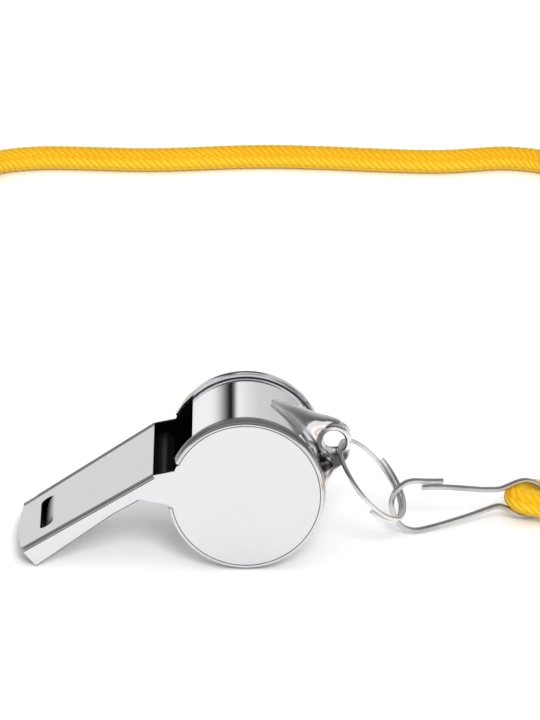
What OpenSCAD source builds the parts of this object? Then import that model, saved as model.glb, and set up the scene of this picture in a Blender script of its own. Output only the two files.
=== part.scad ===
// Pea whistle of pressed and soldered steel sheet, lying on a flat surface with its split ring,
// bent-wire snap hook and neck cord. Millimetres, +Z up, +X to the right, +Y away from the viewer.
// The origin lies on that surface, under the middle of the whistle and its split ring.
// The whistle is drawn about the axis of its round chamber, then laid down on rim and mouth.

/* [Barrel] */
// Diameter of the two end discs
disc_d = 22; // [19:0.5:26]
// Width of the whistle over its side plates
body_w = 20; // [18:0.5:24]
// Thickness of the steel sheet
sheet_t = 0.5; // [0.4:0.05:0.6]
// How far each disc's rim turns over the barrel strip
rim_depth = 1.8; // [1:0.1:2.4]
// Solder gap between the rim and the strip
rim_gap = 0.05; // [0.02:0.01:0.08]
// Angle of the sharp lip behind the window, from +X
lip_angle = 133.75; // [126:0.25:138]

/* [Mouthpiece] */
// Slope of the top plate
mouth_slope = 30.8; // [28:0.2:33]
// Length of the top plate along its slope
top_l = 21.6; // [18:0.2:28]
// Width of the top plate at the window
top_w = 19.7; // [17:0.1:24]
// Width of the mouthpiece at the mouth
mouth_w = 17.2; // [14:0.1:17.4]
// Height of the mouth over both plates
mouth_h = 3.2; // [2.8:0.1:4]
// Height of the neck, where the windway is lowest
neck_h = 2.2; // [2:0.05:2.6]
// How far the mouth's convex front edge bulges
mouth_bulge = 0.6; // [0.2:0.1:1]
// Length of the bite slot across the top plate
bite_l = 10.5; // [6:0.1:12]
// Width of the bite slot
bite_w = 2.1; // [1.4:0.1:3]

/* [Lanyard loop] */
// Height of the pinched loop over the barrel strip
loop_h = 4.6; // [4.3:0.1:5.4]
// Gap between the loop's foot and each rim
loop_side_gap = 0.3; // [0.2:0.1:2]
// Diameter of the eye for the split ring
eye_d = 3.3; // [3.1:0.1:3.6]

/* [Pea] */
// Diameter of the cork pea
pea_d = 11.5; // [9:0.5:13]
// Running gap between the pea and the chamber
pea_gap = 0.1; // [0.05:0.05:0.3]

/* [Split ring] */
// Middle diameter of the ring
ring_d = 13.2; // [12.6:0.2:14.4]
// Diameter of the ring's wire
ring_wire_d = 0.65; // [0.5:0.05:0.7]
// Gap between the ring's turns
ring_turn_gap = 0.03; // [0.03:0.01:0.1]

/* [Snap hook] */
// Length of the hook between its end bends
hook_l = 23.3; // [22.6:0.1:25]
// Height of the hook between its outermost wires
hook_h = 7.6; // [7.4:0.1:8.4]
// Diameter of the hook's wire
hook_wire_d = 0.8; // [0.6:0.05:0.9]

/* [Neck cord] */
// Diameter of the braided cord
cord_d = 3.6; // [3:0.1:3.6]
// Middle diameter of the coil's outermost loop
coil_d = 40.6; // [38:0.2:46]
// Length of the crimped ferrule that joins the cord's ends
ferrule_l = 14; // [12:1:18]
// Diameter of the ferrule
ferrule_d = 5.4; // [4.8:0.1:5.4]

/* [Hidden] */
$fn = 96;
// Overrun of every cut past the face that it leaves
cut = 1;
// Sides of each wire and cord, and steps between the points that its centre line goes through
ring_sides = 8;
hook_sides = 10;
cord_sides = 8;
coil_sides = 6;
frame_steps = 2;
gate_steps = 3;
cord_steps = 2;
bulge_sides = 360;

// Barrel
disc_r = disc_d / 2;
half_w = body_w / 2;
face_r = disc_r - sheet_t;
strip_r = face_r - rim_gap;
chamber_r = strip_r - sheet_t;
inner_half_w = half_w - sheet_t;
// Angles between which the rim stands open for the mouthpiece, and where the strip ends under it
rim_open = 152;
rim_close = 188.5;
strip_end = 185;

// Mouthpiece, in steps along its top plate and square to it, from the window's front corner
window_gap = 1.72;
window_rise = 3.39;
sill_slope = 10.4;
mouth_setback = 0.43;
waist_back = 7.75;
waist_drop = neck_h - 0.07;
neck_back = 3.6;
neck_gap = 0.13;
neck_fall = 0.9;
// Where the side plates bend inwards towards the mouth, out from the disc's edge
fold_gap = 1.7;
bite_at = 17.58;
bite_drop = 1.2;
bite_tongue_t = 0.35;
bite_slit = 0.15;
front_spare = 1.2;
window_x = -disc_r - window_gap;
neck_in_x = -0.8 * disc_r;
fold_x = -disc_r - fold_gap;
function top_at(along, drop) = [window_x - along * cos(mouth_slope) + drop * sin(mouth_slope),
                                window_rise - along * sin(mouth_slope) - drop * cos(mouth_slope)];
tip_top = top_at(top_l, 0);
tip_low = top_at(top_l - mouth_setback, mouth_h);
taper = (half_w - mouth_w / 2) / (fold_x - tip_top.x);
front_low = [tip_top.x - mouth_bulge, tip_top.y - mouth_bulge * tan(mouth_slope)];

// Wind ramp: the nose under the window and how its back hugs the chamber
ramp_gap = 0.05;
ramp_nose_past = 0.45;
ramp_round = 0.5;
ramp_nose_shares = [[1, 0.1], [1.8, -0.6]];
ramp_back_rise = 1.2;

// How the whistle lies: turned about the chamber's axis until rim and mouth both touch
tip_reach = norm(tip_low);
tip_angle = atan2(tip_low.y, tip_low.x) + 360;
lie_turn = 180 + asin(disc_r / tip_reach) - tip_angle;
function lie(p) = [p.x * cos(lie_turn) - p.y * sin(lie_turn),
                   p.y * cos(lie_turn) + p.x * sin(lie_turn) + disc_r];

// Lanyard loop: shares of the way round from its low end to its tip, of its height, of half its
// width, and the power that pinches its cheeks
loop_low = -13;
loop_high = 69;
loop_seat = 0.045;
loop_w = body_w - 2 * (rim_depth + loop_side_gap);
loop_crest_t = 1.1;
loop_cap = 0.2;
loop_wall = 0.55;
// Share of the wall that the hollow's crest loses, height under which the crest's cap fades, and
// the least height and furthest way round of the hollow
loop_pin_share = 0.8;
loop_cap_fade_share = 0.25;
hollow_low_share = 0.3;
hollow_end_share = 0.7;
loop_shape_shares = [[0, 0.13, 0.8, 1], [0.06, 0.25, 0.95, 1.05], [0.135, 0.45, 1, 1.15],
                     [0.195, 0.71, 1, 1.5], [0.245, 0.89, 1, 1.9], [0.305, 0.955, 0.96, 2.4],
                     [0.37, 0.99, 0.88, 2.8], [0.43, 1, 0.77, 2.8], [0.49, 0.98, 0.69, 2.6],
                     [0.54, 0.815, 0.66, 2.3], [0.6, 0.55, 0.62, 1.8], [0.67, 0.39, 0.56, 1.4],
                     [0.77, 0.26, 0.5, 1.1], [0.89, 0.14, 0.37, 1], [1, 0.03, 0.16, 1]];
loop_down_shares = [0, 0.12, 0.28, 0.45, 0.62, 0.8, 1];
eye_angle = 18.8;
eye_out = 2.5;
eye_at = (strip_r + eye_out) * [cos(eye_angle), sin(eye_angle)];

// Split ring: how it slopes and leans, and where its wire starts and stops, from the hook's side
ring_slope = 49.4;
ring_lean = 10.4;
ring_r = ring_d / 2;
ring_from = -75;
ring_to = 445;
ring_cross_from = 115;
ring_cross_to = 245;
ring_step = ring_wire_d + ring_turn_gap;
eye_play = 0.12;
ring_rings = 66;
ring_dir = [cos(ring_slope), -sin(ring_slope)];
eye_pivot = lie(eye_at) + (eye_d / 2 - ring_wire_d / 2 - eye_play) * ring_dir;
ring_centre = eye_pivot + ring_r * ring_dir;
hook_pivot = eye_pivot + ring_d * ring_dir;
ring_reach = ring_r * norm([cos(ring_slope), sin(ring_lean) * sin(ring_slope)]) + ring_wire_d / 2
             + ring_step / 2 * sin(ring_slope) * cos(ring_lean);

// The middle of the whistle and its ring stands over the origin
low_x = lie(front_low).x;
high_x = ring_centre.x + ring_reach;
barrel_x = -(low_x + high_x) / 2;
echo(barrel_x=barrel_x, lie_turn=lie_turn);
echo(eye_pivot=eye_pivot + [barrel_x, 0], hook_pivot=hook_pivot + [barrel_x, 0]);

// Snap hook, in its own upright plane: shares of its length and of its height
hook_yaw = 20;
hook_gap_x = 1.25;
hook_y = 2.19;
hook_x = barrel_x + hook_pivot.x - hook_gap_x;
hook_frame_shares = [[0.326, 0.908], [0.227, 0.947], [0.137, 0.993], [0.09, 0.975], [0.047, 0.895],
                     [0.015, 0.79], [0, 0.632], [0.006, 0.46], [0.034, 0.25], [0.077, 0.1],
                     [0.145, 0.015], [0.2, 0.012], [0.309, 0.053], [0.485, 0.145], [0.62, 0.235],
                     [0.66, 0.26], [0.69, 0.262], [0.73, 0.215], [0.785, 0.1], [0.83, 0.025],
                     [0.876, 0], [0.94, 0.045], [0.985, 0.16], [1, 0.3], [0.985, 0.46],
                     [0.93, 0.6], [0.885, 0.675], [0.85, 0.7], [0.81, 0.69], [0.74, 0.63],
                     [0.71, 0.605], [0.682, 0.598]];
hook_gate_shares = [[0.674, 0.598], [0.64, 0.612], [0.588, 0.632], [0.485, 0.697], [0.34, 0.785],
                    [0.25, 0.825], [0.196, 0.838]];
// Gap at the bend where the gate springs
gate_gap = 0.13;
gate_pivot_share = [0.678, 0.598];
function hook_at(share) = [hook_x + share.x * hook_l * cos(hook_yaw),
                           hook_y + share.x * hook_l * sin(hook_yaw),
                           hook_wire_d / 2 + share.y * hook_h];
echo(gate_pivot=hook_at(gate_pivot_share));

// Neck cord: the route of the loop, chosen by hand on the surface that it lies on
cord_r = cord_d / 2;
cord_points = [[-38, -15.7, 2.7], [-38, -9, 2.7], [-38, 0, 2.2], [-38, 10, 1.9], [-38.5, 40, 1.8],
               [-37.5, 75, 1.8], [-38, 110, 1.8], [-38, 135, 1.8], [-37.6, 144, 1.8],
               [-34.8, 150.3, 1.8], [-28.5, 153, 1.8], [-10, 152.3, 1.8], [8, 153.8, 1.8],
               [34, 151.5, 1.8], [45, 153, 1.8], [51.4, 150.4, 1.8], [54, 144, 1.8],
               [54, 125, 1.8], [54.4, 95, 1.8], [53.6, 60, 1.8], [54, 35, 1.8], [53.8, 24, 1.8],
               [52, 17.6, 1.9], [49, 13.9, 2.2], [46.3, 12.2, 2.7], [44.1, 11.5, 3.1],
               [42.9, 10.4, 3.3], [42.6, 8.7, 3.35], [43.7, 7.4, 3.2], [45.6, 7, 2.9],
               [48.4, 6.9, 2.3], [51.2, 5.4, 1.95], [53.3, 1, 1.83], [54, -8, 1.8], [54.3, -35, 1.8],
               [53.8, -65, 1.8], [54, -90, 1.8], [54, -102, 1.8], [54, -106, 1.8]];
tail_points = [[29.7, -126.3, 5.85], [22, -126.3, 5.1], [10, -126, 2.4], [0, -125.4, 1.9],
               [-14, -123, 1.8], [-27, -117, 1.8], [-35, -107, 1.8], [-38, -92, 1.8],
               [-38.3, -70, 1.8], [-38, -48, 1.8], [-38, -34, 2.2], [-38, -26, 2.7],
               [-38, -16.3, 2.7]];
// The coil: two layers of loops that spiral in, climb and spiral out again
coil_turns = 2.25;
coil_climb_turns = 0.5;
coil_side = 0.5;
coil_lift = 0.45;
coil_steps_per_turn = 24;
coil_start = cord_points[len(cord_points) - 1];
coil_r = coil_d / 2;
coil_centre = [coil_start.x - coil_r, coil_start.y];
ferrule_at = [cord_points[0].x, (cord_points[0].y + tail_points[len(tail_points) - 1].y) / 2,
              cord_points[0].z];
ferrule_fit = 0.1;
crimp_w = 1.6;
crimp_depth = 0.35;

// Helpers: directions, smooth curves through points, and round wire swept along them
function unit(v) = v / norm(v);
function knot(a, b) = sqrt(norm(b - a));
function between(a, b, ta, tb, t) = ((tb - t) * a + (t - ta) * b) / (tb - ta);
function span_at(p, k, t) =
    let(a1 = between(p[0], p[1], k[0], k[1], t), a2 = between(p[1], p[2], k[1], k[2], t),
        a3 = between(p[2], p[3], k[2], k[3], t), b1 = between(a1, a2, k[0], k[2], t),
        b2 = between(a2, a3, k[1], k[3], t))
    between(b1, b2, k[1], k[2], t);
function knots(p) =
    let(k1 = knot(p[0], p[1]), k2 = k1 + knot(p[1], p[2]), k3 = k2 + knot(p[2], p[3]))
    [0, k1, k2, k3];
function padded(pts) = concat([2 * pts[0] - pts[1]], pts,
                              [2 * pts[len(pts) - 1] - pts[len(pts) - 2]]);
function smooth(pts, steps) =
    let(q = padded(pts))
    concat([for (i = [0 : len(pts) - 2])
                let(p = [q[i], q[i + 1], q[i + 2], q[i + 3]], k = knots(p))
                for (s = [0 : steps - 1]) span_at(p, k, k[1] + (k[2] - k[1]) * s / steps)],
           [pts[len(pts) - 1]]);
function tangents(path) =
    [for (i = [0 : len(path) - 1])
        unit(path[min(i + 1, len(path) - 1)] - path[max(i - 1, 0)])];
function square_to(v, t) = unit(v - (v * t) * t);
function length_of(path) = [for (i = 0, s = 0; i < len(path);
                                 s = s + (i < len(path) - 1 ? norm(path[i + 1] - path[i]) : 0),
                                 i = i + 1) s][len(path) - 1];

module wire(path, r, sides) {
    t = tangents(path);
    start = square_to(abs(t[0].y) < 0.9 ? [0, 1, 0] : [1, 0, 0], t[0]);
    n = [for (i = 0, v = start; i < len(path);
              i = i + 1, v = i < len(path) ? square_to(v, t[i]) : v) v];
    last = len(path) - 1;
    polyhedron(
        points = [for (i = [0 : last]) for (k = [0 : sides - 1])
                     let(a = 360 * k / sides, b = cross(t[i], n[i]))
                     path[i] + r * (cos(a) * n[i] + sin(a) * b)],
        faces = concat(
            [for (i = [0 : last - 1]) for (k = [0 : sides - 1]) let(m = (k + 1) % sides)
                [i * sides + k, (i + 1) * sides + k, (i + 1) * sides + m]],
            [for (i = [0 : last - 1]) for (k = [0 : sides - 1]) let(m = (k + 1) % sides)
                [i * sides + k, (i + 1) * sides + m, i * sides + m]],
            [for (k = [1 : sides - 2]) [0, k, k + 1]],
            [for (k = [1 : sides - 2]) [last * sides, last * sides + k + 1, last * sides + k]]),
        convexity = 8);
}

// Skin over rows of points, each an arch of as many points that is the same on both sides. The
// end rows are closed by strips from side to side.
module lofted(rows) {
    m = len(rows[0]);
    last = len(rows) - 1;
    crest = floor(m / 2);
    cap = concat([for (k = [0 : crest - 2]) each [[k, k + 1, m - 2 - k],
                                                  [k, m - 2 - k, m - 1 - k]]],
                 [[crest - 1, crest, crest + 1]]);
    polyhedron(
        points = [for (row = rows) for (p = row) p],
        faces = concat(
            [for (i = [0 : last - 1]) for (k = [0 : m - 1]) let(j = (k + 1) % m)
                [i * m + k, (i + 1) * m + k, (i + 1) * m + j]],
            [for (i = [0 : last - 1]) for (k = [0 : m - 1]) let(j = (k + 1) % m)
                [i * m + k, (i + 1) * m + j, i * m + j]],
            cap,
            [for (t = cap) [last * m + t[0], last * m + t[2], last * m + t[1]]]),
        convexity = 8);
}

// Draws an outline of the XZ plane right across the whistle, w wide
module across(w) { rotate([90, 0, 0]) linear_extrude(w, center = true) children(); }
module as_it_lies() { translate([barrel_x, 0, disc_r]) rotate([0, -lie_turn, 0]) children(); }

// Seen from above: the space between two side walls that taper in towards the mouth
module plan(half, spare) {
    end_x = tip_top.x - front_spare;
    translate([0, 0, -disc_r - cut])
        linear_extrude(disc_d + 2 * cut)
            polygon([[disc_r + spare, -half], [disc_r + spare, half], [fold_x, half],
                     [end_x, half - taper * (fold_x - end_x)],
                     [end_x, -half + taper * (fold_x - end_x)], [fold_x, -half]]);
}

module cheek_outline() {
    polygon([[neck_in_x, window_rise + (neck_in_x - window_x) * tan(sill_slope)],
             [window_x, window_rise], top_at(0, sheet_t), top_at(top_l, sheet_t), tip_low,
             top_at(waist_back, waist_drop), top_at(neck_back, neck_h),
             [-disc_r - neck_gap, -neck_fall], [neck_in_x, -disc_r * sin(rim_close - 180)]]);
}

module side_plate() {
    translate([0, -half_w, 0]) rotate([-90, 0, 0]) cylinder(r = face_r, h = sheet_t);
    translate([0, -half_w, 0]) rotate([-90, 0, 0])
        rotate_extrude(angle = 360 - rim_close + rim_open, start = -rim_open) {
            translate([face_r, sheet_t]) square([sheet_t, rim_depth - sheet_t]);
            intersection() {
                translate([face_r, sheet_t]) circle(sheet_t);
                translate([face_r, 0]) square(sheet_t);
            }
        }
    intersection() {
        across(body_w) cheek_outline();
        difference() {
            plan(half_w, 0);
            plan(inner_half_w, cut);
            translate([-disc_d * 2, 0, -disc_d]) cube([disc_d * 4, body_w, disc_d * 2]);
        }
    }
}

module side_plate_near() { color("Gainsboro") as_it_lies() side_plate(); }
module side_plate_far() { color("Silver") as_it_lies() mirror([0, 1, 0]) side_plate(); }

module barrel_shell() {
    far = 2 * strip_r;
    color("WhiteSmoke") as_it_lies() {
        across(2 * inner_half_w) difference() {
            circle(strip_r);
            circle(chamber_r);
            polygon([[0, 0], far * [cos(lip_angle), sin(lip_angle)],
                     far * [cos(strip_end), sin(strip_end)]]);
        }
        intersection() {
            across(body_w) polygon([
                strip_r * [cos(strip_end), sin(strip_end)], top_at(neck_back, neck_h),
                top_at(waist_back, waist_drop), tip_low,
                top_at(top_l - mouth_setback, mouth_h - sheet_t),
                top_at(waist_back, waist_drop - sheet_t), top_at(neck_back, neck_h - sheet_t),
                chamber_r * [cos(strip_end), sin(strip_end)] + [0, sheet_t]]);
            plan(inner_half_w, 0);
        }
    }
}

module mouthpiece_top() {
    bulge_r = (pow(mouth_w / 2, 2) + pow(mouth_bulge, 2)) / (2 * mouth_bulge);
    slot_from = bite_at - bite_w / 2;
    slot_to = bite_at + bite_w / 2;
    color("LightGray") as_it_lies() intersection() {
        union() {
            difference() {
                across(body_w) polygon([top_at(0, 0), top_at(top_l + front_spare, 0),
                                        top_at(top_l + front_spare, sheet_t),
                                        top_at(0, sheet_t)]);
                across(bite_l) polygon([top_at(slot_from, -cut), top_at(slot_to, -cut),
                                        top_at(slot_to, cut), top_at(slot_from, cut)]);
            }
            across(bite_l) polygon([
                top_at(slot_from - sheet_t, 0), top_at(slot_from, 0),
                top_at(slot_to - bite_slit, bite_drop),
                top_at(slot_to - bite_slit, bite_drop + bite_tongue_t),
                top_at(slot_from - sheet_t, sheet_t)]);
        }
        plan(top_w / 2, 0);
        translate([tip_top.x - mouth_bulge + bulge_r, 0, -disc_d])
            cylinder(r = bulge_r, h = 2 * disc_d, $fn = bulge_sides);
    }
}

module wind_ramp() {
    top_drop = neck_h - sheet_t;
    nose = top_at(-ramp_nose_past, top_drop);
    color("DimGray") as_it_lies() intersection() {
        across(body_w) difference() {
            polygon(concat(
                [top_at(neck_back, top_drop - 2 * ramp_gap), nose],
                [for (s = ramp_nose_shares) nose + ramp_round * s],
                [[-chamber_r, ramp_back_rise], [ramp_round - chamber_r, 0],
                 [-chamber_r, -neck_fall + sheet_t + ramp_gap * 2],
                 top_at(neck_back, top_drop - ramp_gap / 2)]));
            circle(chamber_r + ramp_gap);
        }
        plan(inner_half_w - ramp_gap, 0);
    }
}

// One arch of the lanyard loop: across its crest and down both cheeks to the strip
function loop_arch(s, thin, seat) =
    let(a = loop_low + (loop_high - loop_low) * s[0], top = strip_r + loop_h * s[1] - thin,
        foot = loop_w / 2 * s[2] - thin, pin = min(loop_crest_t, foot) / 2 - thin * loop_pin_share,
        base = strip_r + seat,
        side = [for (q = loop_down_shares)
                   [top - (top - base) * q, pin + (foot - pin) * pow(q, s[3])]],
        ridge = [top + loop_cap * min(1, s[1] / loop_cap_fade_share), 0],
        arch = concat([for (i = [len(side) - 1 : -1 : 0]) [side[i][0], -side[i][1]]], [ridge],
                      side))
    [for (p = arch) [p[0] * cos(a), p[1], p[0] * sin(a)]];

module lanyard_loop() {
    hollow = [for (s = loop_shape_shares)
                 if (s[0] < hollow_end_share && s[1] > hollow_low_share) s];
    color("DarkGray") as_it_lies() difference() {
        lofted([for (s = loop_shape_shares) loop_arch(s, 0, loop_seat)]);
        lofted([for (s = hollow) loop_arch(s, loop_wall, -loop_wall)]);
        translate([eye_at.x, 0, eye_at.y]) rotate([90, 0, 0])
            cylinder(d = eye_d, h = loop_w + 2 * cut, center = true);
    }
}

module pea() {
    color("Peru") translate([barrel_x, 0, disc_r - chamber_r + pea_gap + pea_d / 2])
        sphere(d = pea_d);
}

module split_ring() {
    path = [for (i = [0 : ring_rings])
               let(a = ring_from + (ring_to - ring_from) * i / ring_rings,
                   c = min(1, max(0, (a - ring_cross_from) / (ring_cross_to - ring_cross_from))),
                   rise = c * c * (3 - 2 * c) - 0.5)
               [ring_r * cos(a), ring_r * sin(a), ring_step * rise]];
    color("LightSlateGray") translate([barrel_x + ring_centre.x, 0, ring_centre.y])
        rotate([0, ring_slope, 0]) rotate([ring_lean, 0, 0]) wire(path, ring_wire_d / 2, ring_sides);
}

module hook_frame() {
    color("SlateGray")
        wire(smooth([for (s = hook_frame_shares) hook_at(s)], frame_steps), hook_wire_d / 2,
             hook_sides);
}

module hook_gate() {
    color("SteelBlue")
        wire(smooth([for (s = hook_gate_shares) hook_at(s)], gate_steps), hook_wire_d / 2,
             hook_sides);
}

// Centre line of the coil
function coil_at(turned) =
    let(total = coil_turns * 360, middle = total / 2, climb = coil_climb_turns * 360,
        pitch = cord_d + coil_side, layer = cord_d + coil_lift,
        r = coil_r - pitch * min(turned, total - turned) / 360,
        c = min(1, max(0, (turned - middle) / climb + 0.5)))
    [coil_centre.x + r * cos(turned), coil_centre.y - r * sin(turned),
     coil_start.z + layer * c * c * (3 - 2 * c)];
coil_steps = coil_turns * coil_steps_per_turn;
coil_path = [for (i = [0 : coil_steps]) coil_at(coil_turns * 360 * i / coil_steps)];
coil_end = coil_path[len(coil_path) - 1];
// The least distance between loops that aren't neighbours along the cord
coil_apart = floor(coil_steps_per_turn / 2);
coil_gap = min([for (i = [0 : len(coil_path) - 1]) for (j = [i + coil_apart : len(coil_path) - 1])
                   norm(coil_path[i] - coil_path[j])]) - cord_d;
run_path = smooth(cord_points, cord_steps);
tail_path = smooth(concat([coil_end], tail_points), cord_steps);
echo(coil_least_gap=coil_gap, coil_end=coil_end);
echo(cord_length=length_of(run_path) + length_of(coil_path) + length_of(tail_path));

module cord_run() { color("Gold") wire(run_path, cord_r, cord_sides); }
module cord_coil() { color("Goldenrod") wire(coil_path, cord_r, coil_sides); }
module cord_tail() { color("Orange") wire(tail_path, cord_r, cord_sides); }

module cord_ferrule() {
    color("Silver") translate(ferrule_at) rotate([90, 0, 0]) difference() {
        cylinder(d = ferrule_d, h = ferrule_l, center = true);
        cylinder(d = cord_d + 2 * ferrule_fit, h = ferrule_l + 2 * cut, center = true);
        for (side = [-1, 1])
            translate([0, 0, side * ferrule_l / 4]) rotate_extrude()
                translate([ferrule_d / 2 - crimp_depth, -crimp_w / 2])
                    square([crimp_depth + cut, crimp_w]);
    }
}

side_plate_near();
side_plate_far();
barrel_shell();
mouthpiece_top();
wind_ramp();
lanyard_loop();
pea();
split_ring();
hook_frame();
hook_gate();
cord_run();
cord_coil();
cord_tail();
cord_ferrule();
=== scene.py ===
# %% [markdown]
# # A pressed-steel pea whistle on its neck cord
# This notebook dresses a packed whistle for a studio picture. Every size is in metres, in the
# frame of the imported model, so each piece is made where its solid already lies. The order is
# camera, finishes, cord, whistle, ring and hook, and then floor and lamps.

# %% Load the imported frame
import math
from contextlib import contextmanager

import bmesh
import bpy
import numpy as np
from mathutils import Matrix, Vector


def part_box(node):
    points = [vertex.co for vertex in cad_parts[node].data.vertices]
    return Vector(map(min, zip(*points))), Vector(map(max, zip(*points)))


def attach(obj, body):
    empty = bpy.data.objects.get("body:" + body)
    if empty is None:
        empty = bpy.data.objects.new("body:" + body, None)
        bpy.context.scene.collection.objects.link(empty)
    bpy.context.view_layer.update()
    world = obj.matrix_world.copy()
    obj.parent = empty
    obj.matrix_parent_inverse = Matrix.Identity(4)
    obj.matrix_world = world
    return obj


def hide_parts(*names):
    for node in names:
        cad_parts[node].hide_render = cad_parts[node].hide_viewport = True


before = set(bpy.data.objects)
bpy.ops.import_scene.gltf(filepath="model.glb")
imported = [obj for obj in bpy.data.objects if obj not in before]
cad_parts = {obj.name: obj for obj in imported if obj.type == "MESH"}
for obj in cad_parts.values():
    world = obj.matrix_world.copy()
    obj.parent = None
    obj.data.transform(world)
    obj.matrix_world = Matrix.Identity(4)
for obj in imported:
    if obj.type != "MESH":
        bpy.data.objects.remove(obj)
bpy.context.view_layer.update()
MM = 0.001

# %% [markdown]
# ## The camera
# The photograph was taken with a long lens from about 21 degrees above the surface. A camera
# close by would spread the near parts, and an orthographic one would show no depth at all. A
# camera far away with a narrow lens gives the same calm, nearly parallel view. It is aimed at
# the point that lies in the middle of the picture.

# %% Camera
VIEW_RISE = math.radians(21.04)
PIXELS_PER_MM = 7.2
PICTURE_HIGH = 720
CAMERA_AWAY = 1.3
SENSOR = 36
AIM = Vector((8.06, 6.1, 24.9)) * MM


def place_aimed(name, data, place, toward):
    """Puts a camera or a lamp at a place, with its front turned along a direction."""
    holder = bpy.data.objects.new(name, data)
    bpy.context.scene.collection.objects.link(holder)
    holder.location = place
    holder.rotation_euler = toward.to_track_quat("-Z", "Y").to_euler()
    return holder


def make_camera():
    lens = bpy.data.cameras.new("studio_camera")
    lens.sensor_width = SENSOR
    lens.lens = SENSOR * CAMERA_AWAY / (PICTURE_HIGH / PIXELS_PER_MM * MM)
    look = Vector((0, math.cos(VIEW_RISE), -math.sin(VIEW_RISE)))
    eye = place_aimed("studio_camera", lens, AIM - look * CAMERA_AWAY, look)
    bpy.context.scene.camera = eye
    return eye


camera = make_camera()
print("lens:", round(camera.data.lens), "mm")

# %% [markdown]
# ## Working with paths
# The cord and the wires follow listed points. Bezier handles could bend the
# line between them, but every handle is one more thing to set. A centripetal Catmull-Rom curve
# needs none. It runs through every point without loops or overshoot, so the tube that is swept
# along it lies where its solid lies.


# %% Smooth path
def smooth_path(points, steps):
    p = np.array(points, float)
    p = np.vstack([2 * p[0] - p[1], p, 2 * p[-1] - p[-2]])
    out = []
    for i in range(1, len(p) - 2):
        a, b, c, d = p[i - 1 : i + 3]
        k1 = math.sqrt(np.linalg.norm(b - a))
        k2 = k1 + math.sqrt(np.linalg.norm(c - b))
        k3 = k2 + math.sqrt(np.linalg.norm(d - c))
        for s in range(steps):
            t = k1 + (k2 - k1) * s / steps
            ab = ((k1 - t) * a + t * b) / k1
            bc = ((k2 - t) * b + (t - k1) * c) / (k2 - k1)
            cd = ((k3 - t) * c + (t - k2) * d) / (k3 - k2)
            abc = ((k2 - t) * ab + t * bc) / k2
            bcd = ((k3 - t) * bc + (t - k1) * cd) / (k3 - k1)
            out.append(((k2 - t) * abc + (t - k1) * bcd) / (k2 - k1))
    out.append(p[-2])
    return np.array(out)


def path_lengths(path):
    steps = np.linalg.norm(np.diff(path, axis=0), axis=1)
    return np.concatenate([[0], np.cumsum(steps)])


CORNER = [(0, 0, 0), (10, 0, 0), (10, 10, 0)]
print("length round a corner of 10 and 10:", round(path_lengths(smooth_path(CORNER, 8))[-1], 2))


# %% Even steps and the two directions across a path
def even_path(path, step):
    run = path_lengths(path)
    count = max(2, round(run[-1] / step))
    at = np.linspace(0, run[-1], count + 1)
    return np.stack([np.interp(at, run, path[:, k]) for k in range(3)], axis=1)


def path_frames(path):
    """Two directions across the path at each point, which turn no more than the path does."""
    ahead = np.gradient(path, axis=0)
    ahead /= np.linalg.norm(ahead, axis=1)[:, None]
    side = np.cross(ahead[0], (0, 0, 1))
    if np.linalg.norm(side) < 0.1:
        side = np.cross(ahead[0], (0, 1, 0))
    sides = []
    for t in ahead:
        side = side - side.dot(t) * t
        side = side / np.linalg.norm(side)
        sides.append(side)
    sides = np.array(sides)
    return sides, np.cross(ahead, sides)


print("steps of 3 along it:", len(even_path(smooth_path(CORNER, 8), 3)) - 1)

# %% [markdown]
# ## Meshes from rows of points
# A mesh can be made with operators in Edit Mode, as a hand would do it, but a script is shorter
# when it lists the points and faces itself. Most pieces here are rows of points round a section,
# joined row by row. bmesh then does what needs the whole mesh at once, such as merging points
# that lie on each other and turning all faces outwards.

# %% Mesh helpers
MERGE = 1e-7


def new_object(name, points=(), faces=(), edges=()):
    mesh = bpy.data.meshes.new(name)
    mesh.from_pydata([tuple(p) for p in points], list(edges), list(faces))
    mesh.update()
    piece = bpy.data.objects.new(name, mesh)
    bpy.context.scene.collection.objects.link(piece)
    return piece


def ring_faces(rows, count, first=0, closed=False):
    """Joins rows of points, each a closed ring, with four-cornered faces."""
    faces = []
    for i in range(rows if closed else rows - 1):
        a, b = first + i * count, first + (i + 1) % rows * count
        for k in range(count):
            m = (k + 1) % count
            faces.append((a + k, a + m, b + m, b + k))
    return faces


def end_faces(rows, count, first=0):
    """The two faces that close such a tube at its first and its last row."""
    last = first + (rows - 1) * count
    return [tuple(range(first, first + count)), tuple(range(last, last + count))]


@contextmanager
def editing(mesh):
    """Opens a mesh in bmesh, and writes it back afterwards."""
    work = bmesh.new()
    work.from_mesh(mesh)
    yield work
    work.to_mesh(mesh)
    work.free()


def tidy_normals(piece):
    with editing(piece.data) as work:
        bmesh.ops.remove_doubles(work, verts=work.verts, dist=MERGE)
        bmesh.ops.recalc_face_normals(work, faces=work.faces)


print("faces round three rows of eight:", len(ring_faces(3, 8)))

# %% [markdown]
# ## Modifiers, and dressing a piece
# A modifier can stay live on a piece, as a bevel does here, or its result can be made the
# piece's own mesh. The second way is needed where later steps work on the result.


# %% Modifier helpers
def modify(piece, name, kind, **values):
    step = piece.modifiers.new(name, kind)
    for key, value in values.items():
        setattr(step, key, value)
    return step


def settle(piece):
    """Turns what the modifiers make into the piece's own mesh."""
    view = bpy.context.evaluated_depsgraph_get()
    made = bpy.data.meshes.new_from_object(piece.evaluated_get(view))
    piece.modifiers.clear()
    piece.data = made
    return piece


def smooth_to(piece, degrees):
    """Shades the piece smooth, but keeps every edge that is sharper than an angle."""
    piece.data.shade_smooth()
    piece.data.set_sharp_from_angle(angle=math.radians(degrees))


def dress(piece, node, body, slot, *finishes):
    for finish in finishes:
        piece.data.materials.append(finish)
    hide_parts(*node.split())
    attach(piece, body)
    return piece


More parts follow.
